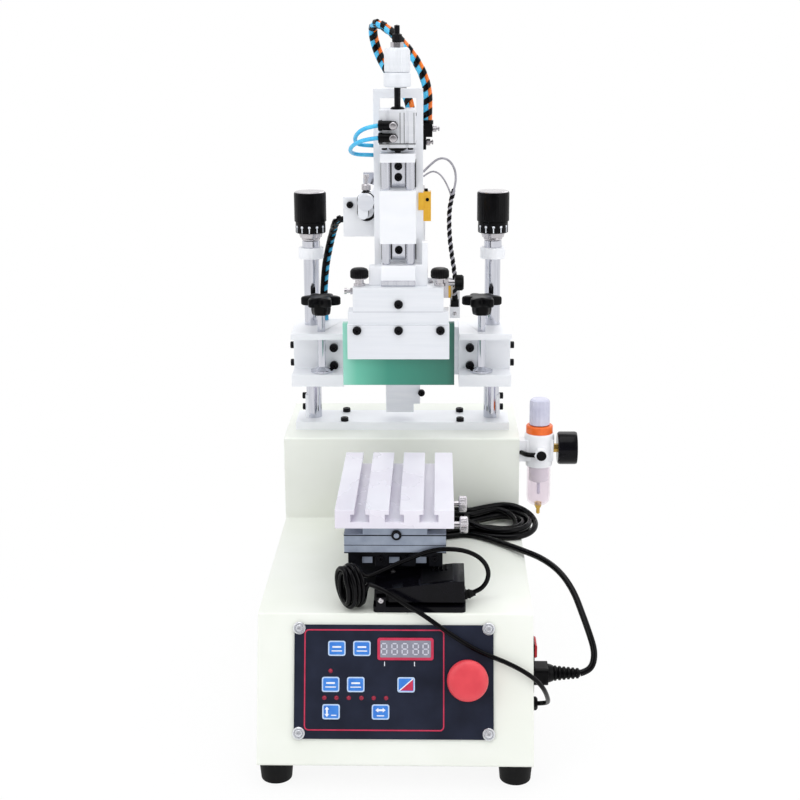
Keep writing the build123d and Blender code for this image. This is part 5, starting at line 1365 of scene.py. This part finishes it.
# %% Filter body, knob and bowl
turned([(11.4, 202), (13.4, 202.4), (13.8, 208), (13.2, 211), (14, 214), (15.2, 219), (15.2, 233),
        (14.6, 236), (13, 237)], AIR, sides=48)
box((AIR_X - 13.2, AIR_Y - 10, 209), (AIR_X + 13.9, AIR_Y + 10, 231))
turned([(7.2, -2, hexagon), (7.2, 6, hexagon), (6, 6.4)], (AIR_X + 1, AIR_Y - 15, 218), FRONT, 36)
box((119.9, AIR_Y - 8, 208), (AIR_X - 12.9, AIR_Y + 8, 230))
turned([(13.5, 237), (13.6, 237.6), (13.6, 244), (12.8, 245), (10, 245)], AIR, sides=48, skin=1)
turned([(4.4, 0), (5, 0.4), (5, 1.6), (3, 1.8)], (AIR_X + 1, AIR_Y - 20.8, 218), FRONT, 28, 2)
piece("filter_body", [white_plastic, orange_ring, black], "machine", edge=0.5,
      stands_for=("air_body",))
fluted = teeth(16, 0.05)
turned([(9, 245.3), (10.3, 246), (10.3, 250, fluted), (10.3, 268.6, fluted), (9.6, 271), (8, 272.3),
        (0, 272.4)], AIR, sides=96)
piece("filter_knob", [lavender], "regulator_knob", stands_for=("air_knob",))
turned([(12.1, 202), (12.2, 170), (11.4, 164), (8.6, 161), (4, 160.2), (3.2, 161.6), (7.6, 162.6),
        (10.2, 165.4), (10.8, 170), (10.7, 202)], AIR, sides=48)
turned([(9.8, 202), (9.8, 187), (8.2, 185.4), (3, 185), (2.2, 184)], AIR, sides=32, skin=1)
turned([(1.7, 185.2), (1.7, 172), (1.2, 171), (0, 171)], AIR, sides=20, skin=3)
turned([(3.6, 162), (3.6, 158, hexagon), (3, 157), (1.9, 155), (1.9, 150.4), (1.2, 149.5),
        (0, 149.5)], AIR, sides=24, skin=2)
piece("filter_bowl", [clear, white_plastic, brass, lavender], "machine", angle=45,
      stands_for=("air_bowl",))
print("filter done")


# %% Gauge
GAUGE_Z = 220.4
centre = (AIR_X + 13.9, AIR_Y, GAUGE_Z)
turned([(4.6, 0, hexagon), (4.6, 4.6, hexagon)], centre, RIGHT, 36, 1)
turned([(5, 4.4), (15.2, 4.6), (16.5, 5.8), (16.8, 7.4), (16.8, 22.4), (16.2, 24.2), (15, 24.5),
        (14.6, 22.6), (0, 22.6)], centre, RIGHT, 64)
turned([(14.5, 22.65), (14.4, 22.9), (0, 22.9)], centre, RIGHT, 48, 2)
face_x = AIR_X + 13.9 + 22.9
TICKS = 24
DIAL_START, DIAL_SPAN = -45, 270
middle = Vector((face_x - 0.02, AIR_Y, GAUGE_Z))
for tick in range(TICKS + 1):
    angle = radians(DIAL_START + DIAL_SPAN * tick / TICKS)
    out = Vector((0, cos(angle), sin(angle)))
    across = Vector((0, -out.z, out.y)) * (0.28 if tick % 4 else 0.45)
    inner = 11.2 if tick % 4 else 9.8
    corners = [middle + out * inner - across, middle + out * 12.8 - across,
               middle + out * 12.8 + across, middle + out * inner + across]
    pushed(corners, NOWHERE, (0.12, 0, 0))
needle = radians(225)
out = Vector((0, cos(needle), sin(needle)))
across = Vector((0, -out.z, out.y))
middle = Vector((face_x + 0.3, AIR_Y, GAUGE_Z))
pushed([middle + out * 10, middle + across * 0.8 - out * 3.5, middle - across * 0.8 - out * 3.5],
       NOWHERE, (0.3, 0, 0), 3)
turned([(1.6, 22.8), (1.6, 23.9), (0, 24)], centre, RIGHT, 20)
turned([(14.7, 24), (14.7, 24.3), (0, 24.4)], centre, RIGHT, 48, 4)
piece("gauge", [gloss_black, brass, white_plastic, stop_red, glass], "machine",
      stands_for=("air_gauge",))
print("gauge done")
